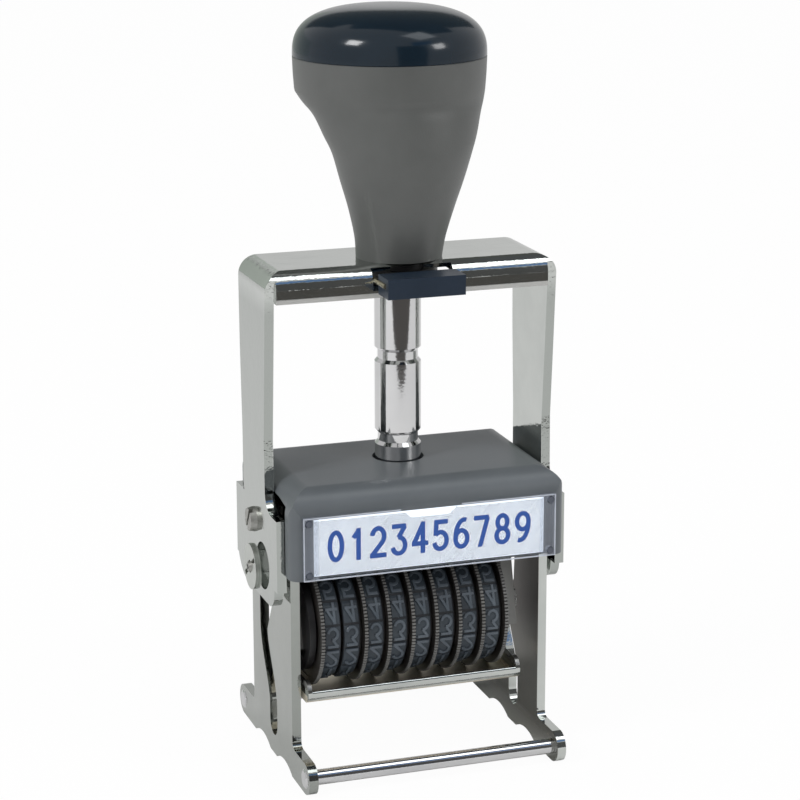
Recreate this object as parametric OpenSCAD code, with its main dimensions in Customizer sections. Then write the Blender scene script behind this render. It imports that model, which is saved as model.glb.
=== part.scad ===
// Self-inking band numbering machine, rest pose.
// Millimetres. X runs across the machine, -Y is the front, +Z is up.
// Origin: on the table, midway between the side plates and the two cross rods.

/* [Side frame] */
// Clear width between the side plates
frame_w = 58.9; // [56:0.1:66]
// Thickness of a side plate
plate_t = 2.2; // [1.6:0.1:2.6]
// Depth of the upright part of a side plate
plate_d = 33; // [31:0.5:36]
// Height of the top of the side plates
plate_top = 66; // [64:0.5:68]
// Distance of each cross rod from the middle plane
rod_y = 26.5; // [25:0.5:32]
// Height of the cross rods above the table
rod_z = 3.7; // [3.5:0.1:6]
// Diameter of a cross rod
rod_d = 3.6; // [2:0.1:4]
// Depth of the two shallow arches under a side plate
arch_h = 1.7; // [0.5:0.1:2.2]
// Length of each arch
arch_len = 13; // [9:0.5:15]

/* [Guide slot] */
// Width of the S slot
slot_w = 6.2; // [5:0.1:6.6]
// Height where the bend of the slot starts
bend_low = 12; // [10:0.5:13]
// Height where the bend of the slot ends
bend_high = 30; // [28:0.5:32]
// Height of the centre of the lower slot end
slot_low = 7.9; // [6.5:0.1:8.2]
// Height of the centre of the upper slot end
slot_high = 48.5; // [48:0.5:52]

/* [Housing] */
// How far each side of the housing stands outside the clear width of the frame
housing_side = 3.85; // [3.4:0.05:5]
// Front face of the housing
housing_front = 23.3; // [22.8:0.1:26]
// Rear face of the housing
housing_rear = 20; // [19.5:0.5:24]
// Lower edge of the housing
housing_low = 50.3; // [50.2:0.1:51]
// Top face of the housing
housing_top = 71; // [70.5:0.1:72]
// Wall thickness of the housing
wall = 1.4; // [1.2:0.1:1.6]
// Edge radius round the top of the housing
top_r = 5.8; // [3:0.2:6]
// Edge radius of the upright corners of the housing
upright_r = 2.6; // [2:0.1:3]

/* [Label] */
// Width of the clear cover
cover_w = 61.2; // [58:0.2:61.6]
// Height of the clear cover
cover_h = 14.9; // [14:0.1:16]
// Thickness of the clear cover
cover_t = 1; // [0.6:0.1:1.2]
// Width of clear cover to the left and right of the card
card_side = 2.7; // [2.4:0.1:4]
// Height of the card
card_h = 13.4; // [11:0.2:13.6]
// Thickness of the card
card_t = 0.3; // [0.2:0.1:0.6]
// Diameter of a cover peg
peg_d = 1.8; // [1.2:0.1:2.2]

/* [Guide column] */
// Diameter of the column
column_d = 10.9; // [9:0.1:11]
// Diameter at the bottom of a lock groove
groove_d = 9.5; // [8.8:0.1:10.2]
// Height of the top of the column
column_top = 121.5; // [121:0.5:122]
// Height of the centre of the lower lock groove
low_groove_z = 76.2; // [76:0.1:78]
// Height of the centre of the upper lock groove
high_groove_z = 96.1; // [92:0.1:100]
// Straight length of a lock groove
groove_len = 1.9; // [1:0.1:3]
// Bore of the column, which holds the return spring
column_bore = 7.8; // [7.2:0.1:8.2]

/* [Yoke] */
// Gap between a side plate and the leg of the yoke outside it
leg_gap = 1.35; // [0.9:0.05:1.6]
// Thickness of the yoke metal
yoke_t = 2.2; // [2:0.1:3]
// Top face of the yoke bar
bar_top = 119.4; // [119:0.1:122]
// Lower edge of the apron at the front of the bar
apron_low = 112.3; // [112:0.1:114]
// Front face of the apron
apron_front = 12.2; // [12:0.1:14]
// Outer radius of the fold between bar and apron
apron_r = 4; // [3:0.1:4.6]
// Rear edge of the bar
bar_rear = 11.4; // [9.5:0.1:13]
// Outer corner radius between bar and leg
corner_r = 4.5; // [4:0.5:7]
// Lower edge of the wide plate of a leg
tongue_low = 41.2; // [40:0.1:42]
// Top of the wide plate of a leg
shoulder_z = 63.4; // [62:0.1:64]
// Lower edge of the front part of the wide plate
shoe_low = 46.2; // [45:0.1:48]
// Front edge of the wide plate
shoe_front = 18.1; // [17.5:0.1:18.1]
// Rear edge of the wide plate
shoe_rear = 16.5; // [15.5:0.1:16.5]

/* [Handle] */
// Radius of the neck where the handle meets the bar
neck_r = 10; // [9.5:0.1:12]
// Radius of the handle at the seam of the cap
seam_r = 22.4; // [20:0.2:26]
// Height of the seam between handle and cap
seam_z = 165.1; // [164.5:0.1:170]
// Height of the lip under the head of the handle
lip_z = 157.1; // [154:0.1:159]
// How far the head leans back over the neck
head_lean = 5.3; // [3:0.1:8]
// Height of the cap's dome
dome_h = 11.5; // [8:0.1:14]

/* [Carriage motion] */
// Height of the pivot at rest
pivot_z = 46.3; // [46:0.1:46.6]
// Distance of the pivot behind the middle plane
pivot_y = 3; // [2.8:0.1:3.2]
// Full stroke of the yoke
stroke = 39; // [38.5:0.1:39.2]
// Distance of the guide pin from the pivot
pin_throw = 3.8; // [3.6:0.1:4]
// Angle by which the guide pin starts above the horizontal
pin_lead = 10; // [8:1:12]
// Diameter of the guide pin
pin_d = 2.8; // [2:0.1:3]
// Diameter of the pivot disc
disc_d = 11; // [10.5:0.1:12]

/* [Carriage] */
// Thickness of the bracket sheet
sheet_t = 1; // [0.8:0.1:1.2]
// Gap between the left side plate and the left ear
left_room = 0.55; // [0.4:0.05:0.8]
// Gap between the right side plate and the right ear
right_room = 6.05; // [5:0.05:6.5]
// Top face of the web under the wheels
web_z = 20.2; // [19.8:0.1:20.2]
// Front edge of the web
web_front = 20.9; // [20:0.1:21]
// Height of the lip along the front of the web
lip_h = 3.2; // [2.4:0.1:3.4]
// Outer radius of the fold between web and lip
fold_r = 2.6; // [2.4:0.1:2.8]

/* [Number wheels] */
// Diameter of a thumbwheel rim
rim_d = 29.4; // [28:0.1:29.6]
// Thickness of a thumbwheel rim
rim_t = 0.8; // [0.7:0.1:1.2]
// Distance from the left ear to the first rim
first_room = 1.8; // [1.4:0.1:2.4]
// Distance from the last rim to the right ear
last_room = 2.8; // [2:0.1:3.6]
// Gap between a band and the face of its rim
rim_gap = 0.75; // [0.4:0.05:0.9]
// Distance of the axle in front of the middle plane
axle_y = 8; // [7.8:0.1:8.4]
// Height of the axle at rest
axle_z = 35.3; // [35:0.1:35.6]
// Diameter of the axle
axle_d = 5; // [4:0.1:6]
// Diameter of the hub that a band runs on
hub_d = 24; // [22:0.2:25]

/* [Number bands] */
// Thickness of a band
band_t = 1; // [0.8:0.1:1.2]
// Height of the raised digits
relief = 0.5; // [0.3:0.1:0.6]

/* [Ink pad] */
// Distance from a side plate to the ink pad
pad_inset = 4.25; // [4.1:0.05:6]
// Depth of the ink pad
pad_d = 12; // [8:0.5:12]
// Thickness of the ink pad
pad_t = 2.6; // [2:0.1:3]
// Thickness of the tray's floor
tray_t = 1.4; // [1:0.1:1.6]

/* [Lock button] */
// Width of the button
button_w = 18.5; // [16:0.5:24]
// Height of the button
button_h = 4.6; // [4:0.1:5]
// Front face of the button
button_front = 21; // [19:0.1:23]
// Travel of the button
button_travel = 1.5; // [1:0.1:1.8]

/* [Return spring] */
// Diameter of the spring wire
wire_d = 0.9; // [0.7:0.1:1]
// Outer diameter of the spring
spring_d = 7; // [6:0.1:7.1]
// Number of turns
turns = 16; // [12:1:20]

/* [Fits] */
// Radial clearance of a running fit
run = 0.05; // [0.04:0.01:0.07]
// Gap between parts that pass each other
gap = 0.3; // [0.2:0.05:0.35]
// Difference in diameter between a fixed pin and its hole
snug = 0.02; // [0.01:0.01:0.04]

/* [Hidden] */
$fn = 64;

chrome = "silver";
steel = "lightsteelblue";
grey_plastic = "dimgray";
navy_plastic = "midnightblue";
rubber = "darkslategray";

plate_in = frame_w / 2;
plate_out = plate_in + plate_t;
plate_half = plate_d / 2;
yoke_in = plate_out + leg_gap;
yoke_out = yoke_in + yoke_t;
housing_half = plate_in + housing_side;
card_w = cover_w - 2 * card_side;

// The pin circle about the pivot, seen in a side plate, gives the two straight runs of the slot.
slot_rear_y = pivot_y + pin_throw * cos(pin_lead);
slot_front_y = pivot_y - pin_throw * cos(pin_lead);

disc_r = disc_d / 2;
pin_y = slot_rear_y;
pin_z = pivot_z + pin_throw * sin(pin_lead);
die_r = pivot_z - stroke - 0.1;
die_z = pivot_z + die_r;
platen_top = die_z - relief - band_t;
platen_h = 2.6;
platen_d = 7.2;
pad_z = die_z + 0.1;
tray_z = pad_z + pad_t;
tray_front = pivot_y - pad_d / 2 - 1.5;
pad_w = frame_w - 2 * pad_inset;
pad_rim = 1.2;

rim_r = rim_d / 2;
band_in_r = hub_d / 2 + 0.35;
corner = 1.3;
left_ear = plate_in - left_room;
right_ear = plate_in - right_room;
ear_in_left = left_ear - sheet_t;
ear_in_right = right_ear - sheet_t;
wheel_count = 8;
wheel_pitch = (ear_in_left + ear_in_right - first_room - last_room + gap) / wheel_count;
hub_end = wheel_pitch - rim_t / 2 - gap;
band_w = wheel_pitch - rim_t - gap - rim_gap;
first_rim_x = -ear_in_left + first_room + rim_t / 2;
last_rim_x = ear_in_right - last_room - rim_t / 2;

bridge_top = housing_top - 6.5;
bridge_t = 2;
bridge_half = 14;
// Where the tabs of the bridge start, and their length
tab_at = [-11, 4];
tab_l = 8;
channel_x = plate_in - 0.15;
leg_channel_x = yoke_in - gap;
channel_front = shoe_front + 0.4;
channel_rear = shoe_rear + 0.5;
cover_z = housing_low + 0.2 + cover_h / 2;
button_z = apron_low + 1.3 + button_h / 2;
blade_z = low_groove_z + stroke;
blade_t = 1.6;
blade_w = 12;
spring_foot = bridge_top + 1.5;
spring_top = column_top + stroke + 1.5;

function rim_x(k) = k == 1 ? first_rim_x : last_rim_x - (wheel_count - k) * wheel_pitch;
// The first wheel carries its hub and band on the right, all others on the left.
function hub_side(k) = k == 1 ? 1 : -1;
function ease(t) = t * t * (3 - 2 * t);
function clamp01(t) = max(0, min(1, t));
function slot_y(z) = slot_front_y
    + (slot_rear_y - slot_front_y) * ease(clamp01((z - bend_low) / (bend_high - bend_low)));
function slot_slope(z) = (slot_y(z + 0.05) - slot_y(z - 0.05)) / 0.1;
function slot_edge(z, side) = let (s = slot_slope(z), n = sqrt(1 + s * s))
    [slot_y(z) + side * slot_w / 2 / n, z - side * slot_w / 2 * s / n];
function catmull(a, b, c, d, t) =
    0.5 * (2 * b + (c - a) * t + (2 * a - 5 * b + 4 * c - d) * t * t + (3 * b - a - 3 * c + d) * t * t * t);
function arc_points(at, r, from, to, n) =
    [for (i = [0:n]) let (a = from + (to - from) * i / n) at + r * [cos(a), sin(a)]];
function smooth_rows(rows, steps) = [for (i = [0:len(rows) - 2]) for (j = [0:steps - 1])
    catmull(rows[max(i - 1, 0)], rows[i], rows[i + 1], rows[min(i + 2, len(rows) - 1)], j / steps)];

// Extrude a (y, z) profile from x0 to x1.
module along_x(x0, x1) {
    translate([x0, 0, 0]) rotate([90, 0, 90]) linear_extrude(x1 - x0) children();
}

// Extrude an (x, z) profile from y0 to y1.
module along_y(y0, y1) {
    translate([0, y1, 0]) rotate([90, 0, 0]) linear_extrude(y1 - y0) children();
}

// Round bar along X.
module bar_x(d, x0, x1, y, z) {
    translate([x0, y, z]) rotate([0, 90, 0]) cylinder(d = d, h = x1 - x0);
}

// Fillet of radius r in the inside corner at a point; dir gives the side the fillet fills.
module fillet(at, r, dir) {
    translate(at) difference() {
        translate([dir[0] > 0 ? 0 : -r, dir[1] > 0 ? 0 : -r]) square(r);
        translate([dir[0] * r, dir[1] * r]) circle(r);
    }
}

// Quarter turn of bent sheet: outer radius r about a centre, towards the corner given by dir.
module sheet_bend(centre, r, t, dir) {
    translate(centre) intersection() {
        translate([dir[0] > 0 ? 0 : -r, dir[1] > 0 ? 0 : -r]) square(r);
        difference() {
            circle(r);
            circle(r - t);
        }
    }
}

// Rectangle with rounded corners, given by its limits.
module round_rect(x0, y0, x1, y1, r) {
    translate([x0 + r, y0]) square([x1 - x0 - 2 * r, y1 - y0]);
    translate([x0, y0 + r]) square([x1 - x0, y1 - y0 - 2 * r]);
    for (x = [x0 + r, x1 - r]) for (y = [y0 + r, y1 - r]) translate([x, y]) circle(r);
}

// ---- Side plates -------------------------------------------------------------------------------

module foot_profile(dir) {
    translate([dir * rod_y, rod_z]) circle(rod_z);
    translate([dir > 0 ? 0 : -rod_y, 0]) square([rod_y, rod_z * 2]);
    fillet([dir * plate_half, rod_z * 2], 1.6, [dir, 1]);
}

module arch_profile(middle) {
    arch_r = (arch_len * arch_len / 4 + arch_h * arch_h) / 2 / arch_h;
    translate([middle, arch_h - arch_r]) circle(arch_r, $fn = 128);
}

module slot_profile() {
    bends = 24;
    zs = [for (i = [0:bends]) bend_low + (bend_high - bend_low) * i / bends];
    // The slot opens forwards near its top, where the carriage goes in.
    mouth = [slot_rear_y - slot_w / 2 - 5, slot_high];
    polygon(concat(
        arc_points([slot_front_y, slot_low], slot_w / 2, 180, 360, 16),
        [for (z = zs) slot_edge(z, 1)],
        arc_points([slot_rear_y, slot_high], slot_w / 2, 0, 120, 10),
        [mouth, mouth + [0.8, bend_high + 7.2 - slot_high]],
        [for (i = [bends:-1:0]) slot_edge(zs[i], -1)]));
}

module plate_profile() {
    difference() {
        union() {
            translate([-plate_half, 0]) square([plate_d, plate_top]);
            foot_profile(1);
            foot_profile(-1);
        }
        arch_profile(9);
        arch_profile(-9.5);
        slot_profile();
        for (y = [-1, 1]) translate([y * rod_y, rod_z]) circle(d = rod_d + 0.1);
        for (y = tab_at) translate([y, bridge_top - bridge_t]) square([tab_l + 0.1, bridge_t]);
    }
}

module side_plate_left() {
    color(chrome) along_x(-plate_out, -plate_in) plate_profile();
}

module side_plate_right() {
    color(chrome) along_x(plate_in, plate_out) plate_profile();
}

module cross_rod(y) {
    head_h = 0.3;
    color(steel) {
        bar_x(rod_d, -plate_out - head_h, plate_out + head_h, y, rod_z);
        for (s = [-1, 1]) translate([s * plate_out, y, rod_z]) rotate([0, s * 90, 0])
            cylinder(d1 = rod_d + 1, d2 = rod_d + 0.2, h = head_h);
    }
}

module front_rod() { cross_rod(-rod_y); }
module rear_rod() { cross_rod(rod_y); }

// ---- Bridge, column and housing ----------------------------------------------------------------

boss_x = plate_in - 9.45;
boss_y = 12;
boss_d = 6;
boss_bore_d = 2.4;
screw_head_d = 5;
screw_head_h = 1.5;
screw_l = 5.5;
stud_d = 8;
column_nut_d = 14;

module bridge_plate() {
    slack = 0.05;
    color(steel) difference() {
        union() {
            translate([-plate_in, -bridge_half, bridge_top - bridge_t])
                cube([frame_w, 2 * bridge_half, bridge_t]);
            for (y = tab_at) translate([-plate_out, y + slack, bridge_top - bridge_t])
                cube([2 * plate_out, tab_l, bridge_t]);
        }
        translate([0, 0, bridge_top - bridge_t - 1]) cylinder(d = stud_d + 0.1, h = bridge_t + 2);
        for (s = [-1, 1]) translate([s * boss_x, boss_y, bridge_top - bridge_t - 1])
            cylinder(d = 3.1, h = bridge_t + 2);
    }
}

// Outline of one lock groove, from its lower to its upper shoulder, as [radius, height] points.
function groove_rows(z) = [[column_d / 2, z - groove_len / 2 - 0.8], [groove_d / 2, z - groove_len / 2],
    [groove_d / 2, z + groove_len / 2], [column_d / 2, z + groove_len / 2 + 0.8]];

module guide_column() {
    color(chrome) difference() {
        union() {
            rotate_extrude() polygon(concat([[0, bridge_top], [column_d / 2, bridge_top]],
                groove_rows(low_groove_z), groove_rows(high_groove_z),
                [[column_d / 2, column_top - 0.6], [column_d / 2 - 0.6, column_top], [0, column_top]]));
            translate([0, 0, bridge_top - bridge_t - 3]) cylinder(d = stud_d, h = bridge_t + 4);
        }
        translate([0, 0, spring_foot]) cylinder(d = column_bore, h = column_top);
    }
}

module column_nut() {
    nut_h = 2.8;
    color(steel) translate([0, 0, bridge_top - bridge_t - nut_h]) difference() {
        cylinder(d = column_nut_d, h = nut_h, $fn = 6);
        translate([0, 0, -1]) cylinder(d = stud_d + 0.1, h = nut_h + 2);
    }
}

// Arch of a moulded cover: straight sides from low up, and edges of radius r at the top.
module arch(x0, x1, low, top, r) {
    translate([x0, low]) square([x1 - x0, top - r - low]);
    round_rect(x0, top - 3 * r, x1, top, r);
}

// Moulded block with rounded upper edges; inset is the distance inside the outer faces.
module housing_block(inset, low, top) {
    front = -housing_front + inset;
    rear = housing_rear - inset;
    half = housing_half - inset;
    intersection() {
        along_x(-half, half) arch(front, rear, low, top, top_r - inset);
        along_y(front, rear) arch(-half, half, low, top, top_r - inset);
        translate([0, 0, low]) linear_extrude(top - low)
            round_rect(-half, front, half, rear, upright_r - inset);
    }
}

tray_half = pad_w / 2 + 2.2;

// Slope of the edge of the roof over a side plate
eave_run = 6.8;
eave_rise = 1.2;

module housing() {
    inside_front = -housing_front + wall;
    ceiling = housing_top - 2;
    swing_edge = housing_low + 0.5;
    color(grey_plastic) difference() {
        union() {
            difference() {
                housing_block(0, housing_low, housing_top);
                housing_block(wall, housing_low - 1, ceiling);
            }
            // Bosses for the screws from the bridge
            for (s = [-1, 1]) translate([s * boss_x, boss_y, bridge_top])
                cylinder(d = boss_d, h = ceiling - bridge_top + 0.5);
        }
        // Shallow channels for the legs of the yoke, and deeper ones under the roof for the side plates
        for (s = [-1, 1]) scale([s, 1, 1]) {
            translate([leg_channel_x, -channel_front, housing_low - 1])
                cube([housing_side, channel_front + channel_rear, housing_top]);
            along_x(channel_x, housing_half + 1) polygon([[-channel_front, housing_low - 1],
                [-channel_front, plate_top + gap], [-channel_front + eave_run, plate_top + gap + eave_rise],
                [channel_rear, plate_top + gap + eave_rise], [channel_rear, housing_low - 1]]);
        }
        // Hole round the column
        cylinder(d = column_d + 1.3, h = housing_top + 1);
        // Raised and bevelled front edge, past which the carriage swings
        along_x(-channel_x, channel_x) polygon([[-housing_front - 1, housing_low - 1],
            [-housing_front - 1, swing_edge], [-housing_front + 0.2, swing_edge],
            [inside_front + 0.01, swing_edge + wall], [inside_front + 0.01, housing_low - 1]]);
        // Way out for the ink pad
        translate([-tray_half - gap, 0, housing_low - 1])
            cube([2 * (tray_half + gap), housing_rear + 1, tray_z + tray_t + gap - housing_low + 1]);
        // Recess for the card
        translate([-card_w / 2 - 0.1, -housing_front - 1, cover_z - card_h / 2 - 0.1])
            cube([card_w + 0.2, 1 + card_t, card_h + 0.2]);
        for (s = [-1, 1]) translate([s * boss_x, boss_y, bridge_top - 1])
            cylinder(d = boss_bore_d, h = 5);
    }
}

module housing_screws() {
    color(steel) for (s = [-1, 1]) translate([s * boss_x, boss_y, 0]) {
        translate([0, 0, bridge_top - bridge_t - screw_head_h]) cylinder(d = screw_head_d, h = screw_head_h);
        translate([0, 0, bridge_top - bridge_t - 0.5]) cylinder(d = boss_bore_d - snug, h = screw_l + 0.5);
    }
}

module label_card() {
    color("white") translate([-card_w / 2, -housing_front, cover_z - card_h / 2])
        cube([card_w, card_t, card_h]);
}

peg_x = cover_w / 2 - 1.3;
peg_dz = cover_h / 2 - 1.3;

module label_cover() {
    notch_top = 7.2;
    notch_low = 4.6;
    notch_h = 2.4;
    color("lightcyan") difference() {
        translate([-cover_w / 2, -housing_front - cover_t, cover_z - cover_h / 2])
            cube([cover_w, cover_t, cover_h]);
        along_y(-housing_front - cover_t - 1, -housing_front + 1)
            polygon([[-notch_low, cover_z + cover_h / 2 - notch_h], [notch_low, cover_z + cover_h / 2 - notch_h],
                [notch_top, cover_z + cover_h / 2 + 0.01], [-notch_top, cover_z + cover_h / 2 + 0.01]]);
        for (sx = [-1, 1]) for (sz = [-1, 1])
            translate([sx * peg_x, -housing_front + 1, cover_z + sz * peg_dz]) rotate([90, 0, 0])
                cylinder(d = peg_d, h = cover_t + 2);
    }
}

module cover_pegs() {
    color("gainsboro") for (sx = [-1, 1]) for (sz = [-1, 1])
        translate([sx * peg_x, -housing_front, cover_z + sz * peg_dz]) rotate([90, 0, 0])
            cylinder(d1 = peg_d, d2 = peg_d - 0.3, h = cover_t + 0.2);
}

// ---- Yoke --------------------------------------------------------------------------------------

rivet_y = 1;
rivet_z = 58.6;
rivet_d = 6;
rivet_shank_d = 4;
guide_shoe_d = 7;

// Front and rear edges of a leg, from the bar down to the wide plate.
leg_foot = [-8.7, 10];
sweep_r = 4.6;
leg_front = [[-apron_front + 0.7, bar_top], [-9.8, 96], [-8.5, 80], [leg_foot[0], shoulder_z + sweep_r + 0.4]];
leg_rear = [[bar_rear, bar_top], [11, 98], [leg_foot[1], 78], [leg_foot[1], shoulder_z + 2]];

module shoe_profile() {
    tongue_r = 4.5;
    rear_r = 9.5;
    step = shoe_low;
    tongue_front = -shoe_front + 2.5;
    translate([-shoe_front, step]) square([shoe_front + shoe_rear, shoulder_z - step]);
    translate([tongue_front, tongue_low + tongue_r])
        square([shoe_rear - rear_r - tongue_front, step - tongue_low - tongue_r + 1]);
    translate([0, tongue_low + rear_r]) square([shoe_rear, step - tongue_low - rear_r + 1]);
    translate([tongue_front + tongue_r, tongue_low])
        square([shoe_rear - rear_r - tongue_front - tongue_r, step - tongue_low]);
    translate([tongue_front + tongue_r, tongue_low + tongue_r]) circle(tongue_r);
    translate([shoe_rear - rear_r, tongue_low + rear_r]) circle(rear_r);
}

module leg_profile() {
    difference() {
        polygon(concat(leg_front, [[-9, shoulder_z - 1], [9, shoulder_z - 1]],
            [for (i = [len(leg_rear) - 1:-1:0]) leg_rear[i]]));
        // Upper front corner, rounded like the fold of the apron
        difference() {
            translate([-apron_front, bar_top - apron_r]) square([apron_r, apron_r + 1]);
            translate([-apron_front + apron_r, bar_top - apron_r]) circle(apron_r);
        }
    }
    shoe_profile();
    // Swept corner in front of the leg, small step behind it
    difference() {
        translate([leg_foot[0] - sweep_r, shoulder_z - 0.5]) square([sweep_r + 0.1, sweep_r + 0.5]);
        translate([leg_foot[0] - sweep_r, shoulder_z + sweep_r]) circle(sweep_r);
    }
    fillet([leg_foot[1], shoulder_z], 1.6, [1, 1]);
}

// Crescent recess beside the land round the pivot disc.
window_depth = 1.2;

module window_profile() {
    window_r = 5.6;
    window_shift = [-9, 3];
    land_r = disc_r + 2.2;
    difference() {
        translate([pivot_y, pivot_z] + window_shift) circle(window_r);
        translate([pivot_y, pivot_z]) circle(land_r);
    }
}

module bar_profile() {
    translate([-apron_front + apron_r, bar_top - yoke_t]) square([apron_front - apron_r + bar_rear, yoke_t]);
    translate([-apron_front, apron_low]) square([yoke_t, bar_top - apron_low - apron_r]);
    sheet_bend([-apron_front + apron_r, bar_top - apron_r], apron_r, yoke_t, [-1, 1]);
}

bush_out = 15.6;
// Seam between the turned-down apron and the legs
seam = 0.25;
// Notch over the lock button: its ends left and right of the middle plane, its depth and the skin above it
notch_left = 9.9;
notch_right = 9.5;
notch_d = 5.5;
notch_skin = 0.5;

module yoke() {
    inner_r = corner_r - yoke_t > 1 ? corner_r - yoke_t : 1;
    color(chrome) difference() {
        union() {
            // Legs and bar from one folded strip
            intersection() {
                along_x(-yoke_out, yoke_out) leg_profile();
                along_y(-2 * apron_front, 2 * apron_front) difference() {
                    arch(-yoke_out, yoke_out, 0, bar_top, corner_r);
                    arch(-yoke_in, yoke_in, -1, bar_top - yoke_t, inner_r);
                }
            }
            // Bar with its apron
            intersection() {
                along_x(-yoke_in + seam, yoke_in - seam) bar_profile();
                along_y(-2 * apron_front, 2 * apron_front) arch(-yoke_out, yoke_out, 0, bar_top, corner_r);
            }
        }
        // Bores for the pivot discs, windows and rivet holes
        bar_x(disc_d, -yoke_out - 1, yoke_out + 1, pivot_y, pivot_z);
        for (s = [-1, 1]) scale([s, 1, 1]) along_x(yoke_out - window_depth, yoke_out + 1) window_profile();
        bar_x(rivet_shank_d, -yoke_out - 1, yoke_out + 1, rivet_y, rivet_z);
        // Seat of the bush, passage of the lock button
        translate([0, 0, apron_low - 1]) cylinder(d = bush_out, h = bar_top);
        translate([-blade_w / 2 - run, -apron_front - 1, blade_z - blade_t / 2 - run])
            cube([blade_w + 2 * run, yoke_t + 2, blade_t + 2 * run]);
        translate([-notch_left, -apron_front - 1, blade_z])
            cube([notch_left + notch_right, notch_d + 1, bar_top - notch_skin - blade_z]);
    }
}

module guide_bush() {
    color("dimgray") difference() {
        union() {
            translate([0, 0, apron_low]) cylinder(d = bush_out - snug, h = column_top - apron_low);
            translate([0, 0, apron_low]) cylinder(d = bush_out + 3, h = bar_top - yoke_t - apron_low);
        }
        translate([0, 0, apron_low - 1]) cylinder(d = column_d + 2 * run, h = 30);
        // Passage of the lock blade
        translate([-blade_w / 2 - gap, -15, blade_z - blade_t / 2 - gap])
            cube([blade_w + 2 * gap, 10.5, blade_t + 2 * gap]);
    }
}

shoe_pad_t = 0.5;

module leg_rivets() {
    head_h = 1.5;
    slot_cut = 1.1;
    color(steel) for (s = [-1, 1]) scale([s, 1, 1]) translate([0, rivet_y, rivet_z]) difference() {
        union() {
            translate([yoke_in, 0, 0]) rotate([0, 90, 0]) cylinder(d = rivet_shank_d - snug, h = yoke_t + 0.5);
            translate([yoke_out, 0, 0]) rotate([0, 90, 0]) cylinder(d1 = rivet_d, d2 = rivet_d - 0.6, h = head_h);
        }
        rotate([30, 0, 0]) translate([yoke_out + head_h - 0.9, -slot_cut / 2, -rivet_d])
            cube([2, slot_cut, 2 * rivet_d]);
    }
}

module guide_shoes() {
    color("white") for (s = [-1, 1]) scale([s, 1, 1])
        bar_x(guide_shoe_d, yoke_in - shoe_pad_t, yoke_in, rivet_y, rivet_z);
}

// ---- Handle ------------------------------------------------------------------------------------

// Rows of [height, half width, centre in Y, depth over width] up the neck, which flares, flattens and leans
// back to the lip.
neck_rows = [
    [bar_top, neck_r, -1, 1],
    [bar_top + 5, neck_r + 0.6, -1.9, 0.98],
    [bar_top + 12, neck_r + 2.4, -2.9, 0.93],
    [bar_top + 18.3, neck_r + 4.4, -3.5, 0.88],
    [bar_top + 24.7, neck_r + 6.3, -3.7, 0.84],
    [bar_top + 28.5, neck_r + 7.8, -2.4, 0.84],
    [lip_z - 4.7, seam_r - 3, head_lean - 5.3, 0.87],
    [lip_z - 2, seam_r - 1.4, head_lean - 2.2, 0.93],
    [lip_z, seam_r - 0.5, head_lean - 0.1, 1]];
head_rows = [[lip_z + 0.6, seam_r - 0.4, head_lean, 1], [lip_z + 4, seam_r - 0.15, head_lean, 1],
    [seam_z, seam_r, head_lean, 1]];
handle_sides = 64;

module handle_form() {
    rows = concat(smooth_rows(neck_rows, 3), [neck_rows[len(neck_rows) - 1]], head_rows);
    n = handle_sides;
    last = len(rows) - 1;
    points = [for (row = rows) for (i = [0:n - 1])
        [row[1] * cos(360 * i / n), row[2] + row[3] * row[1] * sin(360 * i / n), row[0]]];
    sides = [for (j = [0:last - 1]) for (i = [0:n - 1])
        [j * n + i, (j + 1) * n + i, (j + 1) * n + (i + 1) % n, j * n + (i + 1) % n]];
    polyhedron(points, concat(sides, [[for (i = [0:n - 1]) i]],
        [[for (i = [n - 1:-1:0]) last * n + i]]));
}

module handle() {
    color(grey_plastic) difference() {
        handle_form();
        translate([0, 0, bar_top - 1]) cylinder(d = bush_out + snug, h = column_top - bar_top + 1);
        cylinder(d = column_d + 1.2, h = spring_top + 1.5);
    }
}

// Flattened dome of the cap: a superellipse from the seam to the crown.
module handle_cap() {
    n = 20;
    power = 2.8;
    color(navy_plastic) translate([0, head_lean, 0]) rotate_extrude($fn = 96)
        polygon(concat([[0, seam_z]], [for (i = [0:n]) let (a = 90 * i / n)
            [seam_r * pow(cos(a), 2 / power), seam_z + dome_h * pow(sin(a), 2 / power)]]));
}

module spring_seat() {
    color(steel) translate([0, 0, spring_top]) cylinder(d = column_d + 1.1, h = 1.4);
}

module return_spring() {
    r = (spring_d - wire_d) / 2;
    steps = turns * 14;
    sides = 6;
    length = spring_top - spring_foot - wire_d - 0.2;
    points = [for (i = [0:steps]) for (j = [0:sides - 1])
        let (a = 360 * turns * i / steps, b = 360 * j / sides, q = r + wire_d / 2 * cos(b))
        [q * cos(a), q * sin(a), spring_foot + wire_d / 2 + 0.1 + length * i / steps + wire_d / 2 * sin(b)]];
    faces = [for (i = [0:steps - 1]) for (j = [0:sides - 1])
        [i * sides + j, i * sides + (j + 1) % sides, (i + 1) * sides + (j + 1) % sides, (i + 1) * sides + j]];
    color(steel) polyhedron(points, concat(faces, [[for (j = [sides - 1:-1:0]) j]],
        [[for (j = [0:sides - 1]) steps * sides + j]]), convexity = 10);
}

// ---- Lock button -------------------------------------------------------------------------------

lock_pin_d = 1.2;
lock_pin_z = button_z + 0.5;
lock_pin_front = button_front - 1.6;
lock_pin_rear = apron_front - 1.9;

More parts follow.
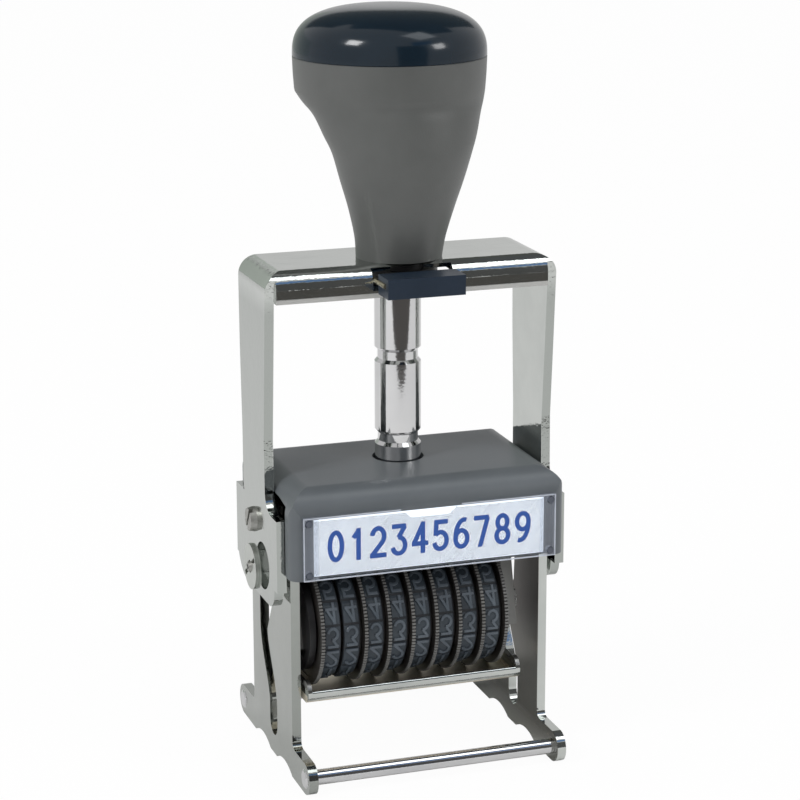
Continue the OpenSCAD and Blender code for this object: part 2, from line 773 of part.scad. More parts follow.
module lock_button() {
    head_d = button_front - apron_front - button_travel - 0.3;
    blade_end = column_d / 2 + button_travel + 0.3;
    color(navy_plastic) difference() {
        union() {
            translate([-button_w / 2, -button_front, button_z - button_h / 2]) cube([button_w, head_d, button_h]);
            translate([-blade_w / 2, -button_front + 1, blade_z - blade_t / 2])
                cube([blade_w, button_front - 1 - blade_end, blade_t]);
        }
        // Groove in the left side for the pin
        translate([-button_w / 2, -lock_pin_front, lock_pin_z]) rotate([-90, 0, 0])
            cylinder(d = lock_pin_d, h = head_d);
    }
}

// Guide pin beside the button, which runs through the notch of the bar.
module lock_pin() {
    color(steel) translate([-button_w / 2, -lock_pin_front, lock_pin_z]) rotate([-90, 0, 0])
        cylinder(d = lock_pin_d, h = lock_pin_front - lock_pin_rear);
}

// ---- Ink pad -----------------------------------------------------------------------------------

// Two C rails under the bridge plate that the tray slides in.
module pad_rails() {
    rail_t = 1;
    rail_top_w = 3;
    foot_top = tray_z - run;
    inner = tray_half + gap;
    color(steel) for (s = [-1, 1]) scale([s, 1, 1]) along_y(tray_front, bridge_half) union() {
        translate([inner, foot_top - rail_t]) square([rail_t, bridge_top - bridge_t - foot_top + rail_t]);
        translate([pad_w / 2 + pad_rim + gap, foot_top - rail_t]) square([inner + rail_t / 2
            - pad_w / 2 - pad_rim - gap, rail_t]);
        translate([inner - rail_top_w, bridge_top - bridge_t - rail_t])
            square([rail_top_w + rail_t / 2, rail_t]);
    }
}

module pad_tray() {
    grip_w = 22;
    back_low = housing_low + gap;
    back_t = 1.2;
    color("dimgray") {
        translate([-tray_half, tray_front, tray_z]) cube([2 * tray_half, housing_rear - tray_front, tray_t]);
        // Frame round the pad
        difference() {
            translate([-pad_w / 2 - pad_rim, pivot_y - pad_d / 2 - pad_rim, tray_z - 1.4])
                cube([pad_w + 2 * pad_rim, pad_d + 2 * pad_rim, 1.5]);
            translate([-pad_w / 2, pivot_y - pad_d / 2, pad_z]) cube([pad_w, pad_d, pad_t]);
        }
        // Back plate that closes the housing, with a grip
        translate([-tray_half + 0.8, housing_rear - back_t, back_low])
            cube([2 * tray_half - 1.6, back_t, tray_z + tray_t - back_low]);
        translate([-grip_w / 2, housing_rear - 0.1, back_low + 1.5]) cube([grip_w, 2.4, 1.4]);
    }
}

module ink_pad() {
    color("darkblue") translate([-pad_w / 2, pivot_y - pad_d / 2, pad_z]) cube([pad_w, pad_d, pad_t]);
}

// ---- Carriage ----------------------------------------------------------------------------------

ear_top_r = 6.2;
// Ends of the straight front edge of an ear
ear_nose = [-13.7, 30.5];
ear_crown = [-9, 49];
flange_w = 1.8;

module ear_profile() {
    web_low = web_z - sheet_t;
    fold = [-web_front + fold_r, web_low + fold_r];
    difference() {
        union() {
            translate([pivot_y, pivot_z]) circle(ear_top_r);
            translate(fold) circle(fold_r);
            polygon([[pivot_y - 2, pivot_z + 5.8], [pivot_y + ear_top_r, pivot_z],
                [pivot_y + ear_top_r - 1.5, web_low + 6], [2, web_low], [fold[0], web_low],
                fold, [-web_front, fold[1]], [-web_front + 0.6, fold[1] + 0.8],
                [-axle_y - 7, web_low + 4.2], [-axle_y - 2.2, web_low + 4.6], [-axle_y - 2.6, web_low + 8.4],
                ear_nose, ear_crown]);
        }
        translate([-axle_y, axle_z]) circle(d = axle_d + snug);
    }
}

module web_profile() {
    web_low = web_z - sheet_t;
    fold = [-web_front + fold_r, web_low + fold_r];
    translate([fold[0], web_low]) square([2 - fold[0], sheet_t]);
    sheet_bend(fold, fold_r, sheet_t, [-1, -1]);
    translate([-web_front, fold[1]]) square([sheet_t, web_low + lip_h - sheet_t / 2 - fold[1]]);
    translate([-web_front + sheet_t / 2, web_low + lip_h - sheet_t / 2]) circle(d = sheet_t);
}

module carriage_frame() {
    color(chrome) difference() {
        union() {
            along_x(-left_ear, -ear_in_left) ear_profile();
            along_x(ear_in_right, right_ear) ear_profile();
            along_x(-left_ear, right_ear) web_profile();
            // Front edge of the right ear, folded outwards
            along_x(ear_in_right, right_ear + flange_w)
                polygon([ear_nose, ear_crown, ear_crown + [sheet_t, 0], ear_nose + [sheet_t, 1]]);
        }
        bar_x(pin_d + snug, -left_ear - 1, right_ear + 1, pin_y, pin_z);
        for (y = [-1.8, 1.8])
            bar_x(screw_d + snug, -left_ear - 1, right_ear + 1, pivot_y + y, platen_top - platen_h / 2);
    }
}

cross_shank_d = 1.8;
cross_head_d = 3;

// Disc that turns in the yoke, with the eccentric pin that runs in the slot.
module pivot_disc(s, ear) {
    proud = 0.7;
    slot_cut = 1.2;
    color(chrome) scale([s, 1, 1]) difference() {
        union() {
            bar_x(disc_d - 2 * run, yoke_in, yoke_out + proud, pivot_y, pivot_z);
            bar_x(pin_d, ear - sheet_t, yoke_in + 0.5, pin_y, pin_z);
        }
        translate([yoke_out + proud, pivot_y, pivot_z]) rotate([55, 0, 0])
            translate([-0.8, -slot_cut / 2, -disc_r + 0.6]) cube([2, slot_cut, disc_d - 1.2]);
        bar_x(cross_shank_d, yoke_out - 1.5, yoke_out + 2, pivot_y, pivot_z);
        bar_x(cross_head_d + snug, yoke_out, yoke_out + 2, pivot_y, pivot_z);
    }
}

module pivot_disc_left() { pivot_disc(-1, left_ear); }
module pivot_disc_right() { pivot_disc(1, right_ear); }

module pivot_screws() {
    head_h = 1.2;
    color("white") for (s = [-1, 1]) scale([s, 1, 1]) difference() {
        union() {
            bar_x(cross_shank_d - snug, yoke_out - 1.5, yoke_out + 0.3, pivot_y, pivot_z);
            translate([yoke_out, pivot_y, pivot_z]) rotate([0, 90, 0])
                cylinder(d1 = cross_head_d, d2 = cross_head_d - 0.8, h = head_h);
        }
        for (a = [0, 90]) translate([yoke_out + head_h, pivot_y, pivot_z]) rotate([a + 20, 0, 0])
            translate([-0.5, -0.2, -0.9]) cube([1, 0.4, 1.8]);
    }
}

module right_spacer() {
    color(steel) difference() {
        bar_x(5.6, right_ear, plate_in - gap, pin_y, pin_z);
        bar_x(pin_d + snug, right_ear - 1, plate_in + 1, pin_y, pin_z);
    }
}

axle_head = 0.2;
axle_thread_d = 4;
axle_nut_d = 7.6;
axle_nut_h = 2.6;

module wheel_axle() {
    color(steel) {
        bar_x(axle_d, -left_ear - axle_head, right_ear, -axle_y, axle_z);
        bar_x(axle_d + 2, -left_ear - axle_head, -left_ear, -axle_y, axle_z);
        bar_x(axle_thread_d, right_ear - 1, right_ear + axle_nut_h + 0.6, -axle_y, axle_z);
    }
}

// The nut turns one of its flats to the folded front edge of the right ear.
module axle_nut() {
    lean = atan2(ear_crown[0] - ear_nose[0], ear_crown[1] - ear_nose[1]);
    color(steel) difference() {
        translate([right_ear, -axle_y, axle_z]) rotate([-lean, 0, 0]) rotate([0, 90, 0])
            cylinder(d = axle_nut_d, h = axle_nut_h, $fn = 6);
        bar_x(axle_thread_d + snug, right_ear - 1, right_ear + axle_nut_h + 1, -axle_y, axle_z);
    }
}

end_disc_d = 22.6;

module end_disc() {
    color("black") difference() {
        bar_x(end_disc_d, -ear_in_left, first_rim_x - rim_t / 2 - gap, -axle_y, axle_z);
        bar_x(axle_d + snug, -left_ear, first_rim_x, -axle_y, axle_z);
    }
}

module end_spacer() {
    spacer_d = 12;
    color("black") difference() {
        bar_x(spacer_d, last_rim_x + rim_t / 2 + gap, ear_in_right, -axle_y, axle_z);
        bar_x(axle_d + snug, last_rim_x, right_ear, -axle_y, axle_z);
    }
}

screw_d = 1.6;
screw_dy = 1.8;

module platen() {
    slack = 0.05;
    low = platen_top - platen_h;
    color("dimgray") difference() {
        along_x(-ear_in_left, ear_in_right) round_rect(pivot_y - platen_d / 2 + slack, low,
            pivot_y + platen_d / 2 - slack, platen_top - slack, corner - 0.1);
        for (y = [-screw_dy, screw_dy]) for (x = [-ear_in_left, ear_in_right - 4])
            bar_x(screw_d + snug, x - 0.1, x + 4.1, pivot_y + y, low + platen_h / 2);
    }
}

module platen_screws() {
    z = platen_top - platen_h / 2;
    color(steel) for (y = [-screw_dy, screw_dy]) {
        bar_x(screw_d, -left_ear, -ear_in_left + 3.9, pivot_y + y, z);
        bar_x(screw_d, ear_in_right - 3.9, right_ear, pivot_y + y, z);
        bar_x(2.4, right_ear, right_ear + 0.8, pivot_y + y, z);
    }
}

// ---- Wheels and bands --------------------------------------------------------------------------

module number_wheel(k) {
    x = rim_x(k);
    s = hub_side(k);
    dish_d = rim_d - 3.4;
    color("black") translate([x, -axle_y, axle_z]) scale([s, 1, 1]) rotate([0, 90, 0]) difference() {
        union() {
            translate([0, 0, -rim_t / 2]) cylinder(d = rim_d, h = rim_t, $fn = 96);
            cylinder(d = hub_d, h = hub_end);
        }
        translate([0, 0, -rim_t]) cylinder(d = axle_d + 2 * run, h = wheel_pitch + 2);
        // Dished outer face inside the knurled rim
        translate([0, 0, -rim_t / 2 - 1]) difference() {
            cylinder(d = dish_d, h = 1.2);
            cylinder(d = axle_d + 5, h = 1.2);
        }
    }
}

// Unit normal of the common outer tangent of two circles, on the side given.
function tangent_normal(a, ra, b, rb, side) = let (d = b - a, dist = norm(d), u = d / dist,
    c = (ra - rb) / dist, s = sqrt(1 - c * c)) [u[0] * c - side * u[1] * s, u[1] * c + side * u[0] * s];

// Closed outline that wraps a wheel and the two corners of the platen at a given offset.
module loop_profile(grow) {
    wheel = [-axle_y, axle_z];
    wheel_r = band_in_r + grow;
    edge_r = corner + grow;
    front = [pivot_y - platen_d / 2 + corner, platen_top - corner];
    rear = [pivot_y + platen_d / 2 - corner, platen_top - corner];
    nf = tangent_normal(wheel, wheel_r, front, edge_r, 1);
    nr = tangent_normal(wheel, wheel_r, rear, edge_r, -1);
    front_a = atan2(nf[1], nf[0]);
    rear_a = atan2(nr[1], nr[0]);
    polygon(concat(
        arc_points(rear, edge_r, rear_a, 90, 10),
        arc_points(front, edge_r, 90, front_a, 4),
        arc_points(wheel, wheel_r, front_a, rear_a + 360, 48)));
}

module number_band(k) {
    near = rim_x(k) + hub_side(k) * (k == 1 ? rim_t / 2 + gap : hub_end - band_w);
    x0 = min(near, near + hub_side(k) * band_w);
    color(rubber) along_x(x0, x0 + band_w) difference() {
        loop_profile(band_t);
        loop_profile(0);
    }
}

side_plate_left();
side_plate_right();
front_rod();
rear_rod();
bridge_plate();
guide_column();
column_nut();
pad_rails();
housing();
housing_screws();
label_card();
label_cover();
cover_pegs();
yoke();
guide_bush();
leg_rivets();
guide_shoes();
handle();
handle_cap();
spring_seat();
return_spring();
lock_button();
lock_pin();
pad_tray();
ink_pad();
carriage_frame();
pivot_disc_left();
pivot_disc_right();
pivot_screws();
right_spacer();
wheel_axle();
axle_nut();
end_disc();
end_spacer();
platen();
platen_screws();
for (k = [1:wheel_count]) number_wheel(k);
for (k = [1:wheel_count]) number_band(k);
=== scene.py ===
"""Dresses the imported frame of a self-inking number stamp.

The frame's pieces get their finishes, the bands their raised type, the wheels their knurls and the label its
print. The handle, the cap and the return spring are shaped anew, and a studio is built round the stamp.
"""

import logging
import math
from dataclasses import dataclass, field
from enum import Enum
from typing import ClassVar, Sequence

import bmesh
import bpy
from mathutils import Matrix, Vector

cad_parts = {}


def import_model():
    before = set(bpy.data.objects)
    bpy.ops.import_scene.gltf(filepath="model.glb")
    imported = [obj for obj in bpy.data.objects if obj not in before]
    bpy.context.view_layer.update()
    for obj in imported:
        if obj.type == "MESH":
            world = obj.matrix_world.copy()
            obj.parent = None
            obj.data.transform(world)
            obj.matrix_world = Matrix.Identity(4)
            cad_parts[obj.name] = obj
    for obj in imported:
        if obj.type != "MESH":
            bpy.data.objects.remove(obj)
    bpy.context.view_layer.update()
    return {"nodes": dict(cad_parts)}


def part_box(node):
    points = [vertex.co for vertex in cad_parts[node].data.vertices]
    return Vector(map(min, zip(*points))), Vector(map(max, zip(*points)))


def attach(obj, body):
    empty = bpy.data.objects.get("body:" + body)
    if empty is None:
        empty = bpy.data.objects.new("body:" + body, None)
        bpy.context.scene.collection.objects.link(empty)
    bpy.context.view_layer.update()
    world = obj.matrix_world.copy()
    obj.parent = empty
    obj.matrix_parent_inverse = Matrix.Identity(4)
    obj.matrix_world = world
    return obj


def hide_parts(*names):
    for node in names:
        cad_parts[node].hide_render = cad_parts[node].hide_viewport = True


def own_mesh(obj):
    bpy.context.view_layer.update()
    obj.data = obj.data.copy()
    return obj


MM = 0.001
FULL_TURN = 2 * math.pi
WHEEL_COUNT = 8
# Half the width of the clear window over the label card, in millimetres
WINDOW_HALF_WIDTH = 27.0

log = logging.getLogger("number_stamp")

Triple = tuple[float, float, float]
Points = list[Triple]
Faces = list[tuple[int, ...]]
Stroke = list[tuple[float, float]]
Source = bpy.types.NodeSocket


# ---- Node trees --------------------------------------------------------------------------------


@dataclass(frozen=True)
class Zone:
    """A box in a piece, in millimetres, and the depth over which its effect fades in along each axis.

    A mirrored zone lies on both sides of the object.
    """

    low: Triple
    high: Triple
    fades: Triple = (0.3, 0.3, 0.3)
    mirrored: bool = False


def rgba(value: Triple | float) -> tuple[float, float, float, float]:
    """Return a colour or a grey value with full opacity."""
    return (*value, 1.0) if isinstance(value, tuple) else (value, value, value, 1.0)


class Surface:
    """A material whose Principled shader is fed by procedural nodes in object space."""

    octave_strength: float = 0.55

    def __init__(self, name: str, **sockets: Triple | float) -> None:
        """Start a material.

        Args:
            name: Name of the material.
            **sockets: Values for the shader's own sockets, with underscores for spaces.
        """
        self.material = bpy.data.materials.new(name)
        self.material.use_nodes = True
        self.nodes = self.material.node_tree.nodes
        self.links = self.material.node_tree.links
        self.shader = self.nodes["Principled BSDF"]
        for key, value in sockets.items():
            socket = self.shader.inputs[key.replace("_", " ")]
            socket.default_value = rgba(value) if isinstance(value, tuple) else value
        self.coordinates = self.nodes.new("ShaderNodeTexCoord")

    def noise(self, scale: float, detail: float) -> Source:
        """Return noise in object space.

        Args:
            scale: Features per metre.
            detail: Octaves of detail.

        Returns:
            The noise's factor socket.
        """
        texture = self.nodes.new("ShaderNodeTexNoise")
        texture.inputs["Scale"].default_value = scale
        texture.inputs["Detail"].default_value = detail
        texture.inputs["Roughness"].default_value = self.octave_strength
        self.links.new(self.coordinates.outputs["Object"], texture.inputs["Vector"])
        return texture.outputs["Fac"]

    def ramp(
        self, factor: Source, low: float, high: float, start: Triple | float, end: Triple | float
    ) -> Source:
        """Turn a factor into a colour or a grey value.

        Args:
            factor: Socket to read.
            low: Factor at which the ramp starts.
            high: Factor at which the ramp ends.
            start: Colour or grey at and below low.
            end: Colour or grey at and above high.

        Returns:
            The ramp's colour socket.
        """
        node = self.nodes.new("ShaderNodeValToRGB")
        for element, position, value in zip(node.color_ramp.elements, (low, high), (start, end)):
            element.position = position
            element.color = rgba(value)
        self.links.new(factor, node.inputs["Fac"])
        return node.outputs["Color"]

    def _math(self, operation: str, *values: Source | float) -> Source:
        """Return the result of one math operation.

        Args:
            operation: The math node's operation.
            *values: Sockets or numbers that it works on.

        Returns:
            The node's value socket.
        """
        node = self.nodes.new("ShaderNodeMath")
        node.operation = operation
        for socket, value in zip(node.inputs, values):
            if isinstance(value, Source):
                self.links.new(value, socket)
            else:
                socket.default_value = value
        return node.outputs["Value"]

    def within(self, zone: Zone) -> Source:
        """Return a factor that is 1 well inside a zone and 0 outside it.

        Args:
            zone: The box, and how deep its faces fade.

        Returns:
            The factor's socket.
        """
        split = self.nodes.new("ShaderNodeSeparateXYZ")
        self.links.new(self.coordinates.outputs["Object"], split.inputs["Vector"])
        shares = []
        for axis, low, high, fade in zip("XYZ", zone.low, zone.high, zone.fades):
            place = split.outputs[axis]
            if axis == "X" and zone.mirrored:
                place = self._math("ABSOLUTE", place)
            off = self._math("ABSOLUTE", self._math("SUBTRACT", place, (low + high) / 2 * MM))
            room = self._math("SUBTRACT", (high - low) / 2 * MM, off)
            share = self._math("DIVIDE", room, fade * MM)
            shares.append(self._math("MAXIMUM", self._math("MINIMUM", share, 1.0), 0.0))
        return self._math("MULTIPLY", self._math("MULTIPLY", shares[0], shares[1]), shares[2])

    def blend(self, factor: Source, base: Source, over: Triple | float) -> Source:
        """Lay a colour or a grey value over another one.

        Args:
            factor: How much of the upper one shows.
            base: The lower one.
            over: The upper one.

        Returns:
            The mixed colour's socket.
        """
        mix = self.nodes.new("ShaderNodeMix")
        mix.data_type = "RGBA"
        inputs = {socket.identifier: socket for socket in mix.inputs}
        inputs["B_Color"].default_value = rgba(over)
        self.links.new(base, inputs["A_Color"])
        self.links.new(factor, inputs["Factor_Float"])
        return next(socket for socket in mix.outputs if socket.identifier == "Result_Color")

    def feed(self, socket: str, source: Source) -> None:
        """Link a source to one of the shader's inputs."""
        self.links.new(source, self.shader.inputs[socket])

    def bump(self, *layers: tuple[Source, float]) -> None:
        """Stack bump layers on the shader.

        Args:
            *layers: Pairs of a height socket and the height in metres.
        """
        normal = None
        for height, distance in layers:
            node = self.nodes.new("ShaderNodeBump")
            node.inputs["Strength"].default_value = 1.0
            node.inputs["Distance"].default_value = distance
            self.links.new(height, node.inputs["Height"])
            if normal is not None:
                self.links.new(normal, node.inputs["Normal"])
            normal = node.outputs["Normal"]
        self.feed("Normal", normal)


# ---- Finishes ----------------------------------------------------------------------------------


@dataclass(frozen=True)
class Patch:
    """A zone of a plated piece with a tone and a roughness of its own, mostly painted shade and painted
    reflections.
    """

    zone: Zone
    tone: Triple
    roughness: float


@dataclass(frozen=True)
class ChromePlate:
    """Bright plating over sheet steel, with the faint orange peel of the polished metal under it."""

    name: str
    tone: Triple = (0.60, 0.62, 0.595)
    shade: Triple = (0.50, 0.52, 0.50)
    peel: float = 0.012 * MM
    roughness: float = 0.07
    patches: tuple[Patch, ...] = ()

    def material(self) -> bpy.types.Material:
        """Build the material.

        Returns:
            The material with its nodes.
        """
        surface = Surface(self.name, Metallic=1.0, Roughness=self.roughness)
        colour = surface.ramp(surface.noise(45.0, 4.0), 0.35, 0.7, self.shade, self.tone)
        haze = (self.roughness * 0.9, self.roughness * 1.15)
        matt = surface.ramp(surface.noise(80.0, 3.0), 0.3, 0.8, *haze)
        for patch in self.patches:
            factor = surface.within(patch.zone)
            colour = surface.blend(factor, colour, patch.tone)
            matt = surface.blend(factor, matt, patch.roughness)
        surface.feed("Base Color", colour)
        surface.feed("Roughness", matt)
        surface.bump((surface.noise(1100.0, 2.0), self.peel), (surface.noise(160.0, 1.0), self.peel * 2))
        return surface.material


@dataclass(frozen=True)
class MachinedSteel:
    """Zinc-plated or turned steel with fine tool marks."""

    name: str
    tone: Triple
    shade: Triple
    roughness: float
    mark_depth: float = 0.008 * MM

    def material(self) -> bpy.types.Material:
        """Build the material.

        Returns:
            The material with its nodes.
        """
        surface = Surface(self.name, Metallic=1.0, Roughness=self.roughness)
        marks = surface.noise(900.0, 4.0)
        surface.feed("Base Color", surface.ramp(marks, 0.3, 0.7, self.shade, self.tone))
        polish = (self.roughness * 0.8, self.roughness * 1.3)
        surface.feed("Roughness", surface.ramp(surface.noise(300.0, 3.0), 0.3, 0.8, *polish))
        surface.bump((marks, self.mark_depth))
        return surface.material


@dataclass(frozen=True)
class MouldedPlastic:
    """Moulded plastic or rubber with a fine spark-eroded grain."""

    name: str
    tone: Triple
    shade: Triple
    roughness: float
    grain: float = 0.02 * MM
    grain_scale: float = 2600.0
    coat: float = 0.0
    specular: float = 0.5

    def material(self) -> bpy.types.Material:
        """Build the material.

        Returns:
            The material with its nodes.
        """
        surface = Surface(
            self.name,
            Roughness=self.roughness,
            Coat_Weight=self.coat,
            Coat_Roughness=0.06,
            Specular_IOR_Level=self.specular,
        )
        surface.feed("Base Color", surface.ramp(surface.noise(120.0, 5.0), 0.3, 0.75, self.shade, self.tone))
        handling = (self.roughness * 0.9, self.roughness * 1.12)
        surface.feed("Roughness", surface.ramp(surface.noise(60.0, 5.0), 0.3, 0.8, *handling))
        sink = self.grain * 1.5
        surface.bump((surface.noise(self.grain_scale, 2.0), self.grain), (surface.noise(90.0, 1.0), sink))
        return surface.material


@dataclass(frozen=True)
class ClearPlastic:
    """Thin clear moulding with glossy faces, milky but for the window where there is one."""

    name: str
    tone: Triple
    milk: float
    clear: float = 0.0
    window: Zone | None = None
    ripple: float = 0.03 * MM

    def material(self) -> bpy.types.Material:
        """Build the material.

        Returns:
            The material with its nodes.
        """
        surface = Surface(self.name, Roughness=0.1, Base_Color=self.tone)
        alpha = surface.ramp(surface.noise(300.0, 3.0), 0.3, 0.7, self.milk * 0.85, self.milk)
        if self.window:
            alpha = surface.blend(surface.within(self.window), alpha, self.clear)
        surface.feed("Alpha", alpha)
        surface.bump((surface.noise(60.0, 2.0), self.ripple))
        return surface.material


@dataclass(frozen=True)
class Paper:
    """Card stock or ink printed on it, with paper fibres and a painted glow that lights it up."""

    name: str
    tone: Triple
    shade: Triple
    painted_glow: float = 0.0
    fibre: float = 0.01 * MM

    def material(self) -> bpy.types.Material:
        """Build the material.

        Returns:
            The material with its nodes.
        """
        # The emission is a painted glow: the paper gives off light of its own colour, though it is no lamp.
        surface = Surface(self.name, Roughness=0.75, Specular_IOR_Level=0.2, Emission_Strength=self.painted_glow)
        fibres = surface.ramp(surface.noise(1800.0, 4.0), 0.3, 0.7, self.shade, self.tone)
        surface.feed("Base Color", fibres)
        surface.feed("Emission Color", fibres)
        surface.bump((surface.noise(2500.0, 3.0), self.fibre))
        return surface.material


@dataclass(frozen=True)
class InkFoam:
    """Open foam soaked with ink: pores, damp sheen and blotches."""

    name: str = "ink_foam"
    tone: Triple = (0.02, 0.035, 0.12)
    shade: Triple = (0.006, 0.01, 0.04)
    pore: float = 0.1 * MM

    def material(self) -> bpy.types.Material:
        """Build the material.

        Returns:
            The material with its nodes.
        """
        surface = Surface(self.name, Roughness=0.55)
        surface.feed("Base Color", surface.ramp(surface.noise(500.0, 5.0), 0.35, 0.7, self.shade, self.tone))
        surface.bump((surface.noise(1500.0, 3.0), self.pore))
        return surface.material


class Finish(Enum):
    """The finishes of the stamp's pieces."""

    YOKE_CHROME = ChromePlate(
        "yoke_chrome",
        peel=0.03 * MM,
        patches=(
            # Walls and floor of the crescent recess in each leg plate, darkened: painted shade in the recess
            Patch(
                Zone((33.0, -12.5, 40.0), (35.17, 1.0, 56.5), (0.02, 0.02, 0.02), mirrored=True),
                (0.30, 0.31, 0.29),
                0.45,
            ),
            # Legs, darker than the bar: painted shade
            Patch(
                Zone((33.05, -40.0, 20.0), (36.0, 40.0, 114.0), (0.1, 1.0, 4.0), mirrored=True),
                (0.40, 0.42, 0.40),
                0.08,
            ),
            # Lower edge of the apron
            Patch(Zone((-34.0, -12.6, 111.0), (34.0, -11.9, 113.5)), (0.62, 0.62, 0.60), 0.55),
        ),
    )
    LEFT_CHROME = ChromePlate("plate_chrome", (0.37, 0.385, 0.365), (0.31, 0.325, 0.305), 0.016 * MM, 0.09)
    RIGHT_CHROME = ChromePlate(
        "right_plate_chrome",
        patches=(
            # Inner face, darkened in two layers as a painted reflection of the dark wheels and the housing,
            # darkest at the top
            Patch(
                Zone((29.2, -40.0, -5.0), (29.6, 40.0, 75.0), (0.05, 1.0, 12.0)), (0.12, 0.12, 0.105), 0.3
            ),
            Patch(
                Zone((29.2, -40.0, 16.0), (29.6, 40.0, 75.0), (0.05, 1.0, 18.0)), (0.045, 0.038, 0.032), 0.35
            ),
        ),
    )
    BRACKET_CHROME = ChromePlate(
        "bracket_chrome",
        patches=(
            # Upper face of the web, tinted tan and lightened: a painted brown reflection
            Patch(
                Zone((-32.0, -20.3, 18.0), (32.0, 4.0, 21.4), (0.5, 0.5, 0.5)), (0.92, 0.84, 0.70), 0.42
            ),
            # Ears, darkened: a painted dark reflection
            Patch(
                Zone((22.0, -40.0, 22.5), (32.0, 40.0, 60.0), (0.4, 0.4, 0.4), mirrored=True),
                (0.30, 0.30, 0.29),
                0.35,
            ),
        ),
    )
    DISC_CHROME = ChromePlate("disc_chrome", (0.52, 0.54, 0.51), (0.44, 0.46, 0.43), 0.01 * MM, 0.3)
    COLUMN_CHROME = ChromePlate("column_chrome", (0.66, 0.66, 0.66), (0.58, 0.58, 0.59), 0.006 * MM, 0.06)
    STEEL = MachinedSteel("turned_steel", (0.55, 0.55, 0.54), (0.40, 0.40, 0.39), 0.28)
    SCREW = MachinedSteel("screw_steel", (0.42, 0.42, 0.40), (0.30, 0.30, 0.28), 0.42)
    WIRE = MachinedSteel("spring_wire", (0.45, 0.45, 0.46), (0.32, 0.32, 0.33), 0.25)
    BRASSY = MachinedSteel("plated_pin", (0.62, 0.56, 0.40), (0.45, 0.40, 0.28), 0.25)
    HOUSING = MouldedPlastic("grey_housing", (0.106, 0.119, 0.130), (0.092, 0.104, 0.114), 0.38)
    HANDLE = MouldedPlastic("grey_handle", (0.094, 0.098, 0.095), (0.082, 0.086, 0.083), 0.42)
    CAP = MouldedPlastic(
        "navy_cap", (0.005, 0.014, 0.024), (0.004, 0.011, 0.019), 0.16, 0.004 * MM, 900.0, 0.1, 0.34
    )
    BUTTON = MouldedPlastic("navy_button", (0.008, 0.020, 0.040), (0.006, 0.016, 0.032), 0.35, 0.01 * MM)
    BLACK = MouldedPlastic("black_plastic", (0.016, 0.016, 0.017), (0.010, 0.010, 0.011), 0.4)
    WHEEL = MouldedPlastic("wheel_plastic", (0.020, 0.017, 0.015), (0.012, 0.011, 0.010), 0.45)
    KNURL = MouldedPlastic("worn_knurl", (0.165, 0.165, 0.160), (0.090, 0.089, 0.086), 0.5, 0.03 * MM)
    PALE = MouldedPlastic("natural_nylon", (0.62, 0.62, 0.58), (0.52, 0.52, 0.48), 0.4)
    PEG = MouldedPlastic("clear_peg", (0.10, 0.11, 0.14), (0.05, 0.06, 0.08), 0.25)
    BAND = MouldedPlastic("band_rubber", (0.014, 0.018, 0.024), (0.008, 0.010, 0.014), 0.6, 0.03 * MM)
    BLOCK = MouldedPlastic("block_rubber", (0.038, 0.052, 0.066), (0.016, 0.023, 0.032), 0.5, 0.03 * MM)
    TYPE = MouldedPlastic("type_rubber", (0.095, 0.115, 0.138), (0.050, 0.064, 0.080), 0.38)
    COVER = ClearPlastic(
        "clear_plastic",
        (0.42, 0.46, 0.54),
        milk=0.3,
        clear=0.03,
        window=Zone((-WINDOW_HALF_WIDTH, -40.0, 0.0), (WINDOW_HALF_WIDTH, 0.0, 200.0), (0.02, 0.02, 0.02)),
    )
    # A lighter, milkier plastic for the bead: a painted highlight along the cover's edges.
    COVER_EDGE_HIGHLIGHT = ClearPlastic("clear_edge_highlight", (0.62, 0.66, 0.74), milk=0.75)
    # The card's 0.62 is a painted glow that makes it brighter than the lamps alone would.
    CARD = Paper("label_card", (0.84, 0.90, 0.98), (0.80, 0.86, 0.94), 0.62)
    PRINT = Paper("blue_print", (0.030, 0.095, 0.37), (0.024, 0.075, 0.32))
    FOAM = InkFoam()


class Workshop:
    """Builds each finish once and hands out its material."""

    def __init__(self) -> None:
        """Start with no material made."""
        self.made: dict[Finish, bpy.types.Material] = {}

    def material(self, finish: Finish) -> bpy.types.Material:
        """Hand out a material, which is built on its first use.

        Args:
            finish: The finish it is for.

        Returns:
            The material.
        """
        if finish not in self.made:
            self.made[finish] = finish.value.material()
        return self.made[finish]

    def dress(self, frame_nodes: dict[str, bpy.types.Object], names: Sequence[str], finish: Finish) -> None:
        """Give frame nodes a finish.

        Args:
            frame_nodes: Objects of the frame by node name.
            names: Nodes to dress.
            finish: The finish they get.
        """
        for name in names:
            node = frame_nodes[name]
            for obj in node if isinstance(node, (list, tuple)) else [node]:
                if not obj.material_slots:
                    obj.data.materials.append(None)
                for slot in obj.material_slots:
                    slot.material = self.material(finish)
            log.info("%s is dressed in %s", name, finish.value.name)

    def piece(self, name: str, mesh: bpy.types.Mesh, finish: Finish, body: str) -> bpy.types.Object:
        """Put a mesh in the scene as a piece that rides on a body.

        Args:
            name: Name of the piece.
            mesh: Its mesh, in the frame's coordinates.
            finish: Its finish.
            body: The body it moves with.

        Returns:
            The new object.
        """
        obj = bpy.data.objects.new(name, mesh)
        bpy.context.scene.collection.objects.link(obj)
        mesh.materials.clear()
        mesh.materials.append(self.material(finish))
        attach(obj, body)
        log.info("%s rides on %s", name, body)
        return obj


# ---- Mesh helpers ------------------------------------------------------------------------------


